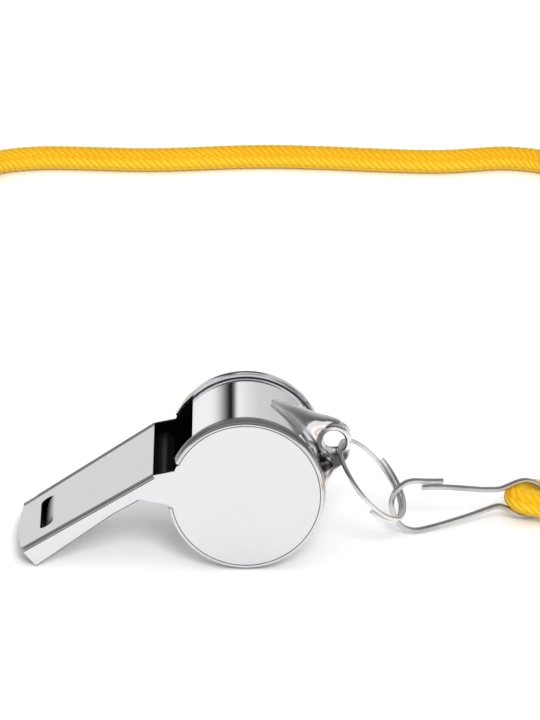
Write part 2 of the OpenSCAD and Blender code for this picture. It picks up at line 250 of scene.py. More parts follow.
# %% [markdown]
# ## Node helpers
# Materials and Geometry Nodes are both trees of nodes. Adding each node by its full path makes
# long, hard-to-read code. A short builder class keeps it readable: it adds a node, sets its
# inputs by name, and joins it to others wherever a value is itself a node or a socket.


# %% Node tree builder
def grey(v):
    return (v, v, v, 1)


class Tree:
    def __init__(self, tree):
        self.tree = tree

    def add(self, kind, settings=None, **inputs):
        node = self.tree.nodes.new(kind)
        for key, value in (settings or {}).items():
            setattr(node, key, value)
        return self.set(node, **inputs)

    def set(self, node, **inputs):
        """Sets inputs by name, such as base_color, or by place, such as in0."""
        for key, value in inputs.items():
            self.put(node.inputs[self.find(node.inputs, key)], value)
        return node

    def find(self, sockets, key):
        if key.startswith("in") and key[2:].isdigit():
            return int(key[2:])
        names = [s.name.lower().replace(" ", "_") for s in sockets]
        usable = [i for i, n in enumerate(names) if n == key and sockets[i].enabled]
        return (usable or [names.index(key)])[0]

    def put(self, socket, value):
        if isinstance(value, bpy.types.NodeSocket):
            self.tree.links.new(value, socket)
        elif isinstance(value, bpy.types.Node):
            self.tree.links.new(value.outputs[0], socket)
        else:
            socket.default_value = value

    def math(self, operation, *values, clamp=False):
        node = self.add("ShaderNodeMath", {"operation": operation, "use_clamp": clamp})
        for socket, value in zip(node.inputs, values):
            self.put(socket, value)
        return node.outputs[0]

    def ramp(self, value, stops, blend="LINEAR"):
        """A colour ramp. A stop's colour may be one number for a grey."""
        node = self.add("ShaderNodeValToRGB", fac=value)
        band = node.color_ramp
        band.interpolation = blend
        while len(band.elements) < len(stops):
            band.elements.new(0.5)
        for element, (place, colour) in zip(band.elements, stops):
            element.position = place
            element.color = (*colour, 1) if isinstance(colour, tuple) else grey(colour)
        return node.outputs[0]

    def object_place(self):
        return self.add("ShaderNodeTexCoord").outputs["Object"]

    def noise(self, vector, scale, detail=3.0, roughness=0.5):
        values = {"vector": vector, "scale": scale, "detail": detail, "roughness": roughness}
        return self.add("ShaderNodeTexNoise", **values).outputs["Fac"]

    def scaled(self, vector, scale):
        return self.add("ShaderNodeMapping", vector=vector, scale=scale).outputs[0]

    def bump(self, height, strength, distance, **normal):
        values = {"height": height, "strength": strength, "distance": distance, **normal}
        return self.add("ShaderNodeBump", **values).outputs[0]

    def mix(self, factor, low, high, blend="MIX"):
        settings = {"data_type": "RGBA", "blend_type": blend}
        return self.add("ShaderNodeMix", settings, in0=factor, in6=low, in7=high).outputs[2]


# %% New groups and new finishes
def new_group(name, kind, inputs, outputs):
    tree = bpy.data.node_groups.new(name, kind)
    for label, sort, value in inputs:
        socket = tree.interface.new_socket(label, in_out="INPUT", socket_type=sort)
        if value is not None:
            socket.default_value = value
    for label, sort in outputs:
        tree.interface.new_socket(label, in_out="OUTPUT", socket_type=sort)
    build = Tree(tree)
    return build, build.add("NodeGroupInput"), build.add("NodeGroupOutput")


def new_finish(name, **values):
    """A material, the builder of its nodes, and its shader with plain values set on it."""
    finish = bpy.data.materials.new(name)
    finish.use_nodes = True
    build = Tree(finish.node_tree)
    return finish, build, build.set(finish.node_tree.nodes["Principled BSDF"], **values)


# %% [markdown]
# ## Finishes: polished steel
# Polished sheet is a metal with a low roughness, and a plain metal shader makes it look new and
# lifeless. What makes it look handled is small: faint polishing lines, a few hair scratches and
# soft smudges that take a little off the shine and the colour. One shader group holds that
# recipe, because all the whistle's metals share it, and each places it with its own strengths.


# %% Group: handled metal
def make_handled_metal():
    build, start, end = new_group(
        "handled_metal",
        "ShaderNodeTree",
        [
            ("Clean Colour", "NodeSocketColor", grey(0.8)),
            ("Dull Colour", "NodeSocketColor", grey(0.7)),
            ("Roughness", "NodeSocketFloat", 0.1),
            ("Smudge", "NodeSocketFloat", 0.05),
            ("Scratch", "NodeSocketFloat", 0.03),
        ],
        [
            ("Colour", "NodeSocketColor"),
            ("Roughness", "NodeSocketFloat"),
            ("Height", "NodeSocketFloat"),
        ],
    )
    given, place = start.outputs, build.object_place()
    smudge = build.ramp(build.noise(place, 220.0, 4.0, 0.6), [(0.42, 0), (0.68, 1)], "EASE")
    lines = build.noise(build.scaled(place, (900.0, 900.0, 9000.0)), 1.0, 2.0, 0.5)
    hair = build.noise(build.scaled(place, (7000.0, 1500.0, 300.0)), 1.0, 1.0, 0.4)
    hair = build.ramp(hair, [(0.66, 0), (0.72, 1)])
    soft = build.math("MULTIPLY", smudge, given["Smudge"])
    marks = build.math("MULTIPLY", hair, given["Scratch"])
    build.set(
        end,
        colour=build.mix(smudge, given["Clean Colour"], given["Dull Colour"]),
        roughness=build.math("ADD", given["Roughness"], build.math("ADD", soft, marks)),
        height=build.math("ADD", lines, hair),
    )
    return build.tree


HANDLED_METAL = make_handled_metal()
print("nodes in the metal recipe:", len(HANDLED_METAL.nodes))

# %% [markdown]
# The whistle's metal is not given one even grey. Its face plates, its strip and its mouthpiece
# each have a grey of their own. The near skirt of the turned rim, the top plate's long edges, the
# seams and the inside are darker as painted shade, and where the loop's sheet rolls under and
# where the tongue is pressed down the painted shade is darkest. Those two carry it on their own
# points, which darkens the finish just there.

# %% Metals
SCRATCHES = 0.03
POLISH_RELIEF = 0.012
POLISH_DEEP = 0.00001


def metal(name, clean, dull, roughness, smudge, metallic=1):
    finish, build, shader = new_finish(name, metallic=metallic)
    recipe = build.add(
        "ShaderNodeGroup",
        {"node_tree": HANDLED_METAL},
        clean_colour=(*clean, 1),
        dull_colour=(*dull, 1),
        roughness=roughness,
        smudge=smudge,
        scratch=SCRATCHES,
    )
    build.set(
        shader,
        base_color=recipe.outputs["Colour"],
        roughness=recipe.outputs["Roughness"],
        normal=build.bump(recipe.outputs["Height"], POLISH_RELIEF, POLISH_DEEP),
    )
    return finish


def add_painted_shade(finish, shade_mark, colour):
    """Paints shade into the finish by a point attribute of the piece, such as in a rolled rim."""
    build = Tree(finish.node_tree)
    shader = finish.node_tree.nodes["Principled BSDF"]
    clean = shader.inputs["Base Color"].links[0].from_socket
    amount = build.add("ShaderNodeAttribute", {"attribute_name": shade_mark}).outputs["Fac"]
    build.set(shader, base_color=build.mix(amount, clean, (*colour, 1)))


PLATE_STEEL = metal("plate_steel", (0.735, 0.726, 0.745), (0.725, 0.716, 0.735), 0.10, 0.015)
STRIP_STEEL = metal("strip_steel", (0.86, 0.85, 0.88), (0.84, 0.83, 0.86), 0.06, 0.015)
LOOP_STEEL = metal("loop_steel", (0.84, 0.83, 0.85), (0.80, 0.79, 0.81), 0.15, 0.03)
RING_WIRE = metal("ring_wire", (0.80, 0.80, 0.81), (0.66, 0.66, 0.67), 0.2, 0.08)
HOOK_WIRE = metal("hook_wire", (0.64, 0.64, 0.65), (0.50, 0.50, 0.51), 0.30, 0.10)
MOUTH_STEEL = metal("mouthpiece_steel", (0.61, 0.60, 0.62), (0.60, 0.59, 0.61), 0.09, 0.012)
# Painted shade for the near skirt of the turned rim and the top plate's far edge.
RIM_SHADE_STEEL = metal("turned_rim_steel", (0.29, 0.29, 0.295), (0.25, 0.25, 0.255), 0.24, 0.05)
TONGUE_STEEL = metal("pressed_tongue", (0.60, 0.60, 0.62), (0.56, 0.56, 0.58), 0.7, 0.03, 0)
# Painted shade for the top plate's rolled near edge.
ROLLED_EDGE_SHADE = metal("rolled_edge_steel", (0.52, 0.52, 0.53), (0.47, 0.47, 0.48), 0.28, 0.04)
# Painted shade for the cheek's top beside the top plate, and for the seams, the rim's groove and
# lip.
SEAM_SHADE = metal("seam_shade", (0.15, 0.15, 0.153), (0.12, 0.12, 0.123), 0.4, 0.06)
SEAM_LINE_SHADE = metal("seam_steel", (0.24, 0.24, 0.245), (0.18, 0.18, 0.185), 0.34, 0.08)
FERRULE_METAL = metal("ferrule_metal", (0.74, 0.74, 0.75), (0.60, 0.60, 0.61), 0.16, 0.08)
# Painted shade for the inside of the chamber, the slot and the window's edges.
INSIDE_SHADE = metal("dark_inside", (0.012, 0.011, 0.013), (0.008, 0.008, 0.009), 0.45, 0.1)
# Painted shade where the loop's sheet rolls under, and where the tongue is pressed down.
add_painted_shade(LOOP_STEEL, "rolled_rim", (0.09, 0.09, 0.095))
add_painted_shade(TONGUE_STEEL, "pressed_down", (0.012, 0.012, 0.013))
print("metals:", HANDLED_METAL.users)

# %% [markdown]
# ## Finishes: cork, and plastic in painted shade
# The pea is pressed from cork granules, and an even brown would make it a clay ball. A cell
# texture gives the granules, a finer noise gives their pores, and both also dent the surface.
# The insert is moulded plastic with a fine grain and a soft gloss, for which one noise is
# enough. It is near black, as painted shade for the dark inside the window.


# %% Cork
def make_cork():
    finish, build, shader = new_finish("cork", roughness=0.85)
    place = build.object_place()
    grain = build.add("ShaderNodeTexVoronoi", {"feature": "F1"}, scale=900.0, vector=place)
    tone = build.add("ShaderNodeSeparateColor", in0=grain.outputs["Color"])
    pores = build.noise(place, 3500.0, 4.0, 0.7)
    body = build.ramp(
        tone.outputs[0],
        [(0.0, (0.20, 0.10, 0.045)), (0.45, (0.42, 0.24, 0.11)), (1.0, (0.60, 0.38, 0.19))],
    )
    dark = build.ramp(pores, [(0.32, 0), (0.45, 1)])
    dents = build.math("ADD", grain.outputs["Distance"], pores)
    build.set(
        shader,
        base_color=build.mix(dark, (0.10, 0.05, 0.02, 1), body),
        normal=build.bump(dents, 0.6, 0.0001),
    )
    return finish


CORK = make_cork()
print("made:", CORK.name)


# %% Black plastic
def make_shaded_ramp_plastic():
    # Near black, as painted shade for the dark seen through the window.
    finish, build, shader = new_finish(
        "ramp_plastic", base_color=(0.004, 0.0035, 0.005, 1), specular_ior_level=0.3
    )
    grain = build.noise(build.object_place(), 2500.0, 3.0, 0.6)
    rough = build.ramp(grain, [(0.3, 0.42), (0.7, 0.56)])
    build.set(shader, roughness=rough, normal=build.bump(grain, 0.15, 0.00003))
    return finish


SHADED_RAMP_PLASTIC = make_shaded_ramp_plastic()
print("made:", SHADED_RAMP_PLASTIC.name)

# %% [markdown]
# ## Finishes: the braided cord
# The cord is a knitted round braid: slanting stitches stand in columns along it, and each
# column is half a stitch behind its neighbour. A bump texture alone would leave its outline
# smooth. So one rule makes both its relief and its colour: a stripe that winds round the cord,
# broken at every column. The relief is real geometry, and the shader repeats the rule for the
# colour, darker in the grooves as painted shade, and for the fine yarns. The side that faces up
# is a little more orange, as painted shade.

# %% Braid group
CORD_D = 3.6 * MM
BRAID_PITCH = 1.09 * MM
BRAID_COLUMNS = 6
BRAID_LEAN = 9
BRAID_TURN = -144 / 360
STITCH_ROUND = 0.6
SHADE_SIDE_TURN = -1.6
SHADE_SIDE_EDGE = (2.6, -1.55)
SHADE_SIDE_DRIFT = (1.2, 0.35)


def make_braid_group():
    build, start, end = new_group(
        "slanted_braid",
        "ShaderNodeTree",
        [
            ("Columns", "NodeSocketFloat", float(BRAID_COLUMNS)),
            ("Lean", "NodeSocketFloat", float(BRAID_LEAN)),
            ("Yarns", "NodeSocketFloat", 4.0),
        ],
        [(label, "NodeSocketFloat") for label in ("Strand", "Yarn", "Fuzz", "Upper Side")],
    )
    calc, given = build.math, start.outputs

    def wave(value):
        return calc("ABSOLUTE", calc("SINE", calc("MULTIPLY", value, math.pi)))

    uv = build.add("ShaderNodeUVMap", {"uv_map": "braid"})
    along, around, _ = build.add("ShaderNodeSeparateXYZ", in0=uv).outputs
    column = calc("MULTIPLY", around, given["Columns"])
    late = calc("MULTIPLY", calc("FLOOR", column), 0.5)
    lean = calc("MULTIPLY", around, given["Lean"])
    phase = calc("ADD", calc("SUBTRACT", along, lean), late)
    strand = calc("POWER", wave(phase), STITCH_ROUND)
    edge = calc("ABSOLUTE", calc("SUBTRACT", calc("FRACT", column), 0.5))
    seam = calc("SUBTRACT", 1.0, calc("POWER", calc("MULTIPLY", edge, 2.0), 4.0))
    strand = calc("MULTIPLY", strand, calc("MULTIPLY_ADD", seam, 0.5, 0.5))
    fine = calc("MULTIPLY", phase, given["Yarns"])
    fine = calc("ADD", fine, calc("MULTIPLY", column, 0.6))
    place = build.object_place()
    # The side that faces up gets painted shade, a little more orange, with a slow drift along the
    # cord.
    turned = calc("MULTIPLY_ADD", around, math.tau, SHADE_SIDE_TURN)
    side_shade = calc("MULTIPLY_ADD", calc("COSINE", turned), *SHADE_SIDE_EDGE, clamp=True)
    drift = build.noise(build.scaled(place, (120.0, 120.0, 120.0)), 1.0, 2.0)
    side_shade = calc("MULTIPLY", side_shade, calc("MULTIPLY_ADD", drift, *SHADE_SIDE_DRIFT), clamp=True)
    fuzz = build.noise(place, 2600.0, 4.0, 0.65)
    build.set(end, strand=strand, yarn=wave(fine), fuzz=fuzz, upper_side=side_shade)
    return build.tree


BRAID_GROUP = make_braid_group()
print("nodes in the braid rule:", len(BRAID_GROUP.nodes))

# %% Cord finish
# Each ramp runs from the groove between stitches, darker as painted shade, to a stitch's top; the
# second is the painted shade of the side that faces up.
CORD_YELLOW = [(0.0, (0.66, 0.36, 0.002)), (0.5, (0.78, 0.47, 0.009)), (1.0, (0.82, 0.54, 0.026))]
CORD_SHADE_ORANGE = [(0.0, (0.70, 0.27, 0.001)), (0.5, (0.78, 0.38, 0.001)), (1.0, (0.81, 0.44, 0.004))]


def make_cord_finish():
    finish, build, shader = new_finish(
        "cord_braid",
        roughness=0.62,
        specular_ior_level=0.25,
        sheen_weight=0.08,
        sheen_roughness=0.5,
        sheen_tint=(1.0, 0.85, 0.45, 1),
    )
    braid = build.add("ShaderNodeGroup", {"node_tree": BRAID_GROUP}).outputs
    yellow = build.ramp(braid["Strand"], CORD_YELLOW)
    orange = build.ramp(braid["Strand"], CORD_SHADE_ORANGE)
    body = build.mix(braid["Upper Side"], yellow, orange)
    fibres = build.math("MULTIPLY", braid["Yarn"], braid["Fuzz"])
    shade = build.ramp(fibres, [(0.0, 0.86), (0.5, 1)])
    coarse = build.bump(braid["Strand"], 0.5, 0.00016)
    build.set(
        shader,
        base_color=build.mix(1.0, body, shade, "MULTIPLY"),
        normal=build.bump(fibres, 0.35, 0.00004, normal=coarse),
    )
    return finish


CORD_BRAID = make_cord_finish()
print("made:", CORD_BRAID.name)

# %% [markdown]
# ## The neck cord
# The cord is one closed loop about 0.95 m long. It leaves the crimped sleeve on the left, runs
# across behind the whistle, bends tightly through the hook's eye, winds up in a small coil and
# comes back to the sleeve. A simulated rope would find its own rest, but not the route of the
# solid that it stands for. So the route repeats the solid's points, in millimetres here and
# scaled once. The coil's turns come from a formula: they spiral in, climb, and spiral out.

# %% Cord route
CORD_POINTS = [
    (-38, -15.7, 2.7), (-38, -9, 2.7), (-38, 0, 2.2), (-38, 10, 1.9), (-38.5, 40, 1.8),
    (-37.5, 75, 1.8), (-38, 110, 1.8), (-38, 135, 1.8), (-37.6, 144, 1.8),
    (-34.8, 150.3, 1.8), (-28.5, 153, 1.8), (-10, 152.3, 1.8), (8, 153.8, 1.8),
    (34, 151.5, 1.8), (45, 153, 1.8), (51.4, 150.4, 1.8), (54, 144, 1.8),
    (54, 125, 1.8), (54.4, 95, 1.8), (53.6, 60, 1.8), (54, 35, 1.8), (53.8, 24, 1.8),
    (52, 17.6, 1.9), (49, 13.9, 2.2), (46.3, 12.2, 2.7), (44.1, 11.5, 3.1),
    (42.9, 10.4, 3.3), (42.6, 8.7, 3.35), (43.7, 7.4, 3.2), (45.6, 7, 2.9),
    (48.4, 6.9, 2.3), (51.2, 5.4, 1.95), (53.3, 1, 1.83), (54, -8, 1.8), (54.3, -35, 1.8),
    (53.8, -65, 1.8), (54, -90, 1.8), (54, -102, 1.8), (54, -106, 1.8),
]
TAIL_POINTS = [
    (29.7, -126.3, 5.85), (22, -126.3, 5.1), (10, -126, 2.4), (0, -125.4, 1.9),
    (-14, -123, 1.8), (-27, -117, 1.8), (-35, -107, 1.8), (-38, -92, 1.8),
    (-38.3, -70, 1.8), (-38, -48, 1.8), (-38, -34, 2.2), (-38, -26, 2.7), (-38, -16.3, 2.7),
]
COIL_TURNS = 2.25
COIL_CLIMB_TURNS = 0.5
COIL_R = 20.3
COIL_SIDE = 0.5
COIL_LIFT = 0.45
COIL_STEPS = 54


def coil_points():
    whole = COIL_TURNS * math.tau
    turned = np.linspace(0, whole, COIL_STEPS + 1)
    wound = np.minimum(turned, whole - turned) / math.tau
    radius = COIL_R - (CORD_D / MM + COIL_SIDE) * wound
    climb = np.clip((turned - whole / 2) / (COIL_CLIMB_TURNS * math.tau) + 0.5, 0, 1)
    height = (CORD_D / MM + COIL_LIFT) * climb * climb * (3 - 2 * climb)
    x0, y0, z0 = CORD_POINTS[-1]
    x = x0 - COIL_R + radius * np.cos(turned)
    return np.stack([x, y0 - radius * np.sin(turned), z0 + height], axis=1)


coil = coil_points()
route = np.vstack(
    [
        smooth_path(CORD_POINTS, 6)[:-1],
        smooth_path(coil, 4)[:-1],
        smooth_path(np.vstack([coil[-1:], TAIL_POINTS]), 6),
    ]
)
route = route * MM

# %% [markdown]
# A tube of small rings is swept along that route, and the braid's rule pushes each ring in or
# out. Flat rings would cut across the slanting stitches and blur them, so these wind as the
# stitches do, and each stitch is drawn by whole rows of faces. In the UV map the first number
# counts strands along the cord, and the second goes round it.

# %% Cord mesh
CORD_SIDES = 24
ROWS_PER_STITCH = 4
CORD_STEP = BRAID_PITCH / ROWS_PER_STITCH
BRAID_DEPTH = 0.15 * MM
ROUTE_STEP = 0.1 * MM


def quad_corners(grid):
    """The four corners of every face of a grid, in order round the face."""
    return np.stack([grid[:-1, :-1], grid[:-1, 1:], grid[1:, 1:], grid[1:, :-1]], axis=2)


def stitch_height(at, around):
    """The braid's rule: 1 on top of a stitch, lower between two and along a column's seam."""
    column = around * BRAID_COLUMNS
    phase = at / BRAID_PITCH - around * BRAID_LEAN + np.floor(column) * 0.5
    edge = np.abs(column % 1 - 0.5) * 2
    return np.abs(np.sin(phase * math.pi)) ** STITCH_ROUND * (1 - 0.5 * edge**4)


def braided_tube(name, path):
    fine = even_path(path, ROUTE_STEP)
    side, rise = path_frames(fine)
    run = path_lengths(fine)
    n, wound = CORD_SIDES, BRAID_LEAN * ROWS_PER_STITCH
    rows = math.ceil(run[-1] / CORD_STEP) + wound + 1
    start = (np.arange(rows) - wound) * CORD_STEP
    around = np.arange(n) / n
    at = np.clip(start[:, None] + around * BRAID_LEAN * BRAID_PITCH, 0, run[-1])

    def pick(values):
        return np.stack([np.interp(at, run, values[:, k]) for k in range(3)], axis=2)

    angle = (around + BRAID_TURN) * math.tau
    out = np.cos(angle)[:, None] * pick(side) + np.sin(angle)[:, None] * pick(rise)
    radius = CORD_D / 2 - BRAID_DEPTH * (1 - stitch_height(at, around))
    points = (pick(fine) + out * radius[:, :, None]).reshape(-1, 3)

    met = np.arange(rows) + wound
    grid = np.column_stack([np.arange(rows * n).reshape(rows, n), met * n])
    along = at / BRAID_PITCH
    along = np.column_stack([along, along[np.minimum(met, rows - 1), 0]])
    uv = np.stack([along, np.broadcast_to(np.arange(n + 1) / n, along.shape)], axis=2)
    keep = np.ones((rows - 1, n), bool)
    keep[:, -1] = met[1:] < rows
    piece = new_object(name, points, quad_corners(grid)[keep].tolist())
    layer = piece.data.uv_layers.new(name="braid")
    layer.data.foreach_set("uv", quad_corners(uv)[keep].reshape(-1))
    with editing(piece.data) as work:
        bmesh.ops.remove_doubles(work, verts=work.verts, dist=MERGE)
        bmesh.ops.holes_fill(work, edges=[e for e in work.edges if e.is_boundary], sides=0)
    piece.data.shade_smooth()
    return piece


neck_cord = braided_tube("neck_cord", route)
dress(neck_cord, "cord_run cord_coil cord_tail", "lanyard", "cord_braid", CORD_BRAID)
print("cord faces:", len(neck_cord.data.polygons))

# %% [markdown]
# ## The crimped sleeve
# Both ends of the cord meet in a plated sleeve, squeezed in two places. Two booleans could cut
# the squeezes, but they would leave hard edges. Its section is turned round the cord's line
# instead, with a smooth dent where each crimp is.

# %% Sleeve
SLEEVE_SIDES = 64
SLEEVE_ROWS = 72
CRIMP_W = 1.6 * MM
CRIMP_DEEP = 0.35 * MM
CRIMP_REACH = 0.75
CRIMP_ROUND = 0.6
SLEEVE_EDGE = 0.25 * MM
SLEEVE_PLAY = 0.1 * MM
sleeve_low, sleeve_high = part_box("cord_ferrule")


def sleeve_profile(outer, half):
    """Where the section lies along the cord, and its radius there, from bore to bore."""
    bore = CORD_D / 2 + SLEEVE_PLAY
    profile = [(-half, bore)]
    for k in range(SLEEVE_ROWS + 1):
        y = -half + 2 * half * k / SLEEVE_ROWS
        near = min(abs(abs(y) - half / 2) / CRIMP_W, CRIMP_REACH) / CRIMP_REACH
        dent = CRIMP_DEEP * max(0.0, math.cos(near * math.pi / 2)) ** CRIMP_ROUND
        lip = max(0.0, SLEEVE_EDGE - (half - abs(y)))
        profile.append((y, outer - dent - (SLEEVE_EDGE - math.sqrt(SLEEVE_EDGE**2 - lip**2))))
    return profile + [(half, bore)]


def make_sleeve():
    middle = (sleeve_low + sleeve_high) / 2
    outer = (sleeve_high.x - sleeve_low.x) / 2
    half = (sleeve_high.y - sleeve_low.y) / 2
    profile = sleeve_profile(outer, half)
    points = []
    for y, r in profile:
        for k in range(SLEEVE_SIDES):
            a = math.tau * k / SLEEVE_SIDES
            points.append(middle + Vector((r * math.cos(a), y, r * math.sin(a))))
    faces = ring_faces(len(profile), SLEEVE_SIDES, closed=True)
    piece = new_object("crimped_sleeve", points, faces)
    tidy_normals(piece)
    smooth_to(piece, 35)
    return piece


sleeve = dress(make_sleeve(), "cord_ferrule", "lanyard", "ferrule_metal", FERRULE_METAL)
print("sleeve faces:", len(sleeve.data.polygons))

# %% [markdown]
# ## The whistle's own axes
# The real whistle lies on its rim and on its mouth, so nothing in it is level. Drawing it lying
# down would put that tilt into every number. It is drawn about the axis of its round chamber
# instead, with x towards the ring and z up, and one matrix then lays it down. The side plates'
# solid gives the disc.

# %% Whistle sizes
plate_low, plate_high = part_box("side_plate_near")
DISC_R = plate_high.z / 2
BARREL_X = plate_high.x - DISC_R
HALF_W = -plate_low.y
SHEET = 0.5 * MM
FACE_R = DISC_R - SHEET
STRIP_R = FACE_R - 0.05 * MM
CHAMBER_R = STRIP_R - SHEET
INNER_HALF_W = HALF_W - SHEET
RIM_DEPTH = 1.8 * MM
LIE_TURN = math.radians(1.57669)
LAID = Matrix.Translation((BARREL_X, 0, DISC_R)) @ Matrix.Rotation(-LIE_TURN, 4, "Y")
print("disc:", round(DISC_R * 2 / MM, 2), "mm")

# %% Mouthpiece sizes
SLOPE = math.radians(30.8)
WINDOW_X = -DISC_R - 1.72 * MM
WINDOW_RISE = 3.39 * MM
TOP_L = 21.6 * MM
TOP_W = 19.7 * MM
MOUTH_W = 17.2 * MM
MOUTH_H = 3.2 * MM
MOUTH_SETBACK = 0.43 * MM
MOUTH_BULGE = 0.6 * MM
NECK_H = 2.2 * MM
NECK_BACK = 3.6 * MM
WAIST_BACK = 7.75 * MM
WAIST_DROP = NECK_H - 0.07 * MM
FOLD_X = -DISC_R - 1.7 * MM
FOLD_ROUND = 0.9 * MM


def ring_at(radius, degrees):
    a = math.radians(degrees)
    return (radius * math.cos(a), radius * math.sin(a))


def top_at(along, drop):
    """The point at a distance down the sloping plate, and so far below its top."""
    x = WINDOW_X - along * math.cos(SLOPE) + drop * math.sin(SLOPE)
    z = WINDOW_RISE - along * math.sin(SLOPE) - drop * math.cos(SLOPE)
    return (x, z)


TIP_TOP = top_at(TOP_L, 0)
TIP_LOW = top_at(TOP_L - MOUTH_SETBACK, MOUTH_H)
TAPER = (HALF_W - MOUTH_W / 2) / (FOLD_X - TIP_TOP[0])


def drawn_in(x):
    """How far a side wall has bent in towards the middle at x, with a rounded fold."""
    past = FOLD_X - x
    if past <= -FOLD_ROUND:
        return 0.0
    if past >= FOLD_ROUND:
        return TAPER * past
    return TAPER * (past + FOLD_ROUND) ** 2 / (4 * FOLD_ROUND)


def both_sides(outline, gap=0.0):
    """Each point of a lengthwise outline twice, at the inner faces of the two side plates."""
    points = []
    for x, z in outline:
        w = INNER_HALF_W - gap - drawn_in(x)
        points += [(x, -w, z), (x, w, z)]
    return points


print("drawn in at the tip:", round(drawn_in(TIP_TOP[0]) / MM, 2), "mm on each side")

# %% [markdown]
# ## Side plates
# Each side plate is one pressing: a keyhole of disc, neck and cheek, whose disc has its rim
# turned over the barrel. A cylinder joined to a box would show a seam where the real sheet has
# none, so the outline is walked once. Where it is disc, a small section makes the turned rim;
# elsewhere the sheet simply ends. The skirt flares by a few degrees, as a drawn rim does, which
# darkens its reflection; on the near plate its band is also painted darker, as painted shade.
# Past the window the cheek bends in.

# %% Turned rim
RIM_OPEN = 152
RIM_CLOSE = 188.5
RIM_STEPS = 190
RIM_TURNS = [RIM_CLOSE + (360 - RIM_CLOSE + RIM_OPEN) * k / RIM_STEPS
             for k in range(RIM_STEPS + 1)]
RIM_ROUND = 0.42 * MM
RIM_ROUND_STEPS = 8
LIP_SHADE_SHARE = 0.72
GROOVE_W = 0.16 * MM
GROOVE_DEEP = 0.05 * MM


def rim_section(flare):
    """Radius and depth below the face, from the flat face round the rim to its inner side."""
    start_r = DISC_R - (RIM_DEPTH - RIM_ROUND) * math.tan(flare)
    round_r = start_r - RIM_ROUND
    flat_r = round_r - GROOVE_W
    section = [(flat_r + GROOVE_W / 2, GROOVE_DEEP), (round_r, 0.0)]
    for k in range(1, RIM_ROUND_STEPS + 1):
        a = (math.pi / 2 - flare) * k / RIM_ROUND_STEPS
        section.append((round_r + RIM_ROUND * math.sin(a), RIM_ROUND * (1 - math.cos(a))))
    section.append(((start_r + DISC_R) / 2, (RIM_DEPTH + RIM_ROUND) / 2))
    lip_r = DISC_R + (FACE_R - DISC_R) * LIP_SHADE_SHARE
    return flat_r, section + [(r, RIM_DEPTH) for r in (DISC_R, lip_r, FACE_R)]


print("points across the rim:", len(rim_section(0)[1]))

# %% [markdown]
# The plate has five finishes: its polished face, its inside in painted shade, the skirt of its
# rim, the seams in painted shade, and the shaded top of the cheek beside the mouthpiece. Each face
# takes the number of its finish while it is made, because by then it is known what it belongs to.

# %% Side plate
SILL_IN = 157.96
NECK_IN = 186.1
NECK_FALL = 0.9 * MM
NECK_GAP = 0.13 * MM
EDGE_TURN = 0.2 * MM
FOLD_CUTS = 3
P_FACE, P_INSIDE_SHADE, P_SKIRT, P_LINE_SHADE, P_SHADE = range(5)
WINDOW_CORNER = (WINDOW_X, WINDOW_RISE)
CHEEK = [
    *[ring_at(FACE_R, a) for a in (RIM_OPEN + 2, RIM_OPEN + 4, SILL_IN)],
    WINDOW_CORNER, top_at(0, SHEET), top_at(TOP_L, SHEET), TIP_LOW,
    top_at(WAIST_BACK, WAIST_DROP), top_at(NECK_BACK, NECK_H), (-DISC_R - NECK_GAP, -NECK_FALL),
    *[ring_at(FACE_R, a) for a in (NECK_IN, RIM_CLOSE - 1.2)],
]


def rim_faces(work, rows):
    """The turned rim, with its groove and its lip in painted shade and its skirt as a band of its
    own finish.
    """
    skirt_from = RIM_ROUND_STEPS + 1
    lip_from = len(rows[0]) - 3
    for a, b in zip(rows, rows[1:]):
        for j in range(len(a) - 1):
            face = work.faces.new((a[j], a[j + 1], b[j + 1], b[j]))
            if j < 2 or j >= lip_from:
                face.material_index = P_LINE_SHADE
            elif j >= skirt_from:
                face.material_index = P_SKIRT
    work.faces.new(rows[0])
    work.faces.new(rows[-1][::-1])


def edge_faces(work, outer, inner):
    """The sheet's edge round the cheek. The mouth's low edge is turned over a little."""
    window_end, low_from = (RIM_STEPS + 1 + CHEEK.index(p) for p in (WINDOW_CORNER, TIP_LOW))
    turned = {}
    for k in range(low_from, low_from + 3):
        x, z = CHEEK[k - RIM_STEPS - 1]
        turned[k] = work.verts.new((x, -HALF_W + EDGE_TURN, z))
        outer[k].co.x -= EDGE_TURN * math.sin(SLOPE)
        outer[k].co.z += EDGE_TURN * math.cos(SLOPE)
    ends = list(range(RIM_STEPS, len(outer))) + [0]
    for a, b in zip(ends, ends[1:]):
        loop = [outer[a], turned.get(a), inner[a], inner[b], turned.get(b), outer[b]]
        # The turned-over low edge gets painted shade, a line for the shadow under the cheek.
        if a in turned and b in turned:
            work.faces.new((outer[a], turned[a], turned[b], outer[b])).material_index = P_LINE_SHADE
            loop[0] = loop[5] = None
        face = work.faces.new([v for v in loop if v])
        # Edges round the window get the inside's painted shade, the two beside the top plate the
        # cheek's shade.
        beside_top = P_SHADE if a < window_end + 2 else P_FACE
        face.material_index = P_INSIDE_SHADE if a < window_end else beside_top


def bend_cheek(work, side):
    """Cuts the plate across its fold, bends the cheek in, and mirrors it for the far side."""
    for k in range(-FOLD_CUTS, FOLD_CUTS + 1):
        everything = work.verts[:] + work.edges[:] + work.faces[:]
        at = FOLD_X + FOLD_ROUND * k / FOLD_CUTS
        bmesh.ops.bisect_plane(work, geom=everything, dist=1e-8,
                               plane_co=(at, 0, 0), plane_no=(1, 0, 0))
    for v in work.verts:
        v.co.y += drawn_in(v.co.x)
        v.co.y *= side


print("corners of the cheek:", len(CHEEK))

# %% [markdown]
# Small bevels catch the light along every edge, as pressed sheet does. They stay live, and the
# weighted normals keep the flat faces flat in the light.

# %% Both plates
EDGE_ANGLE = math.radians(50)


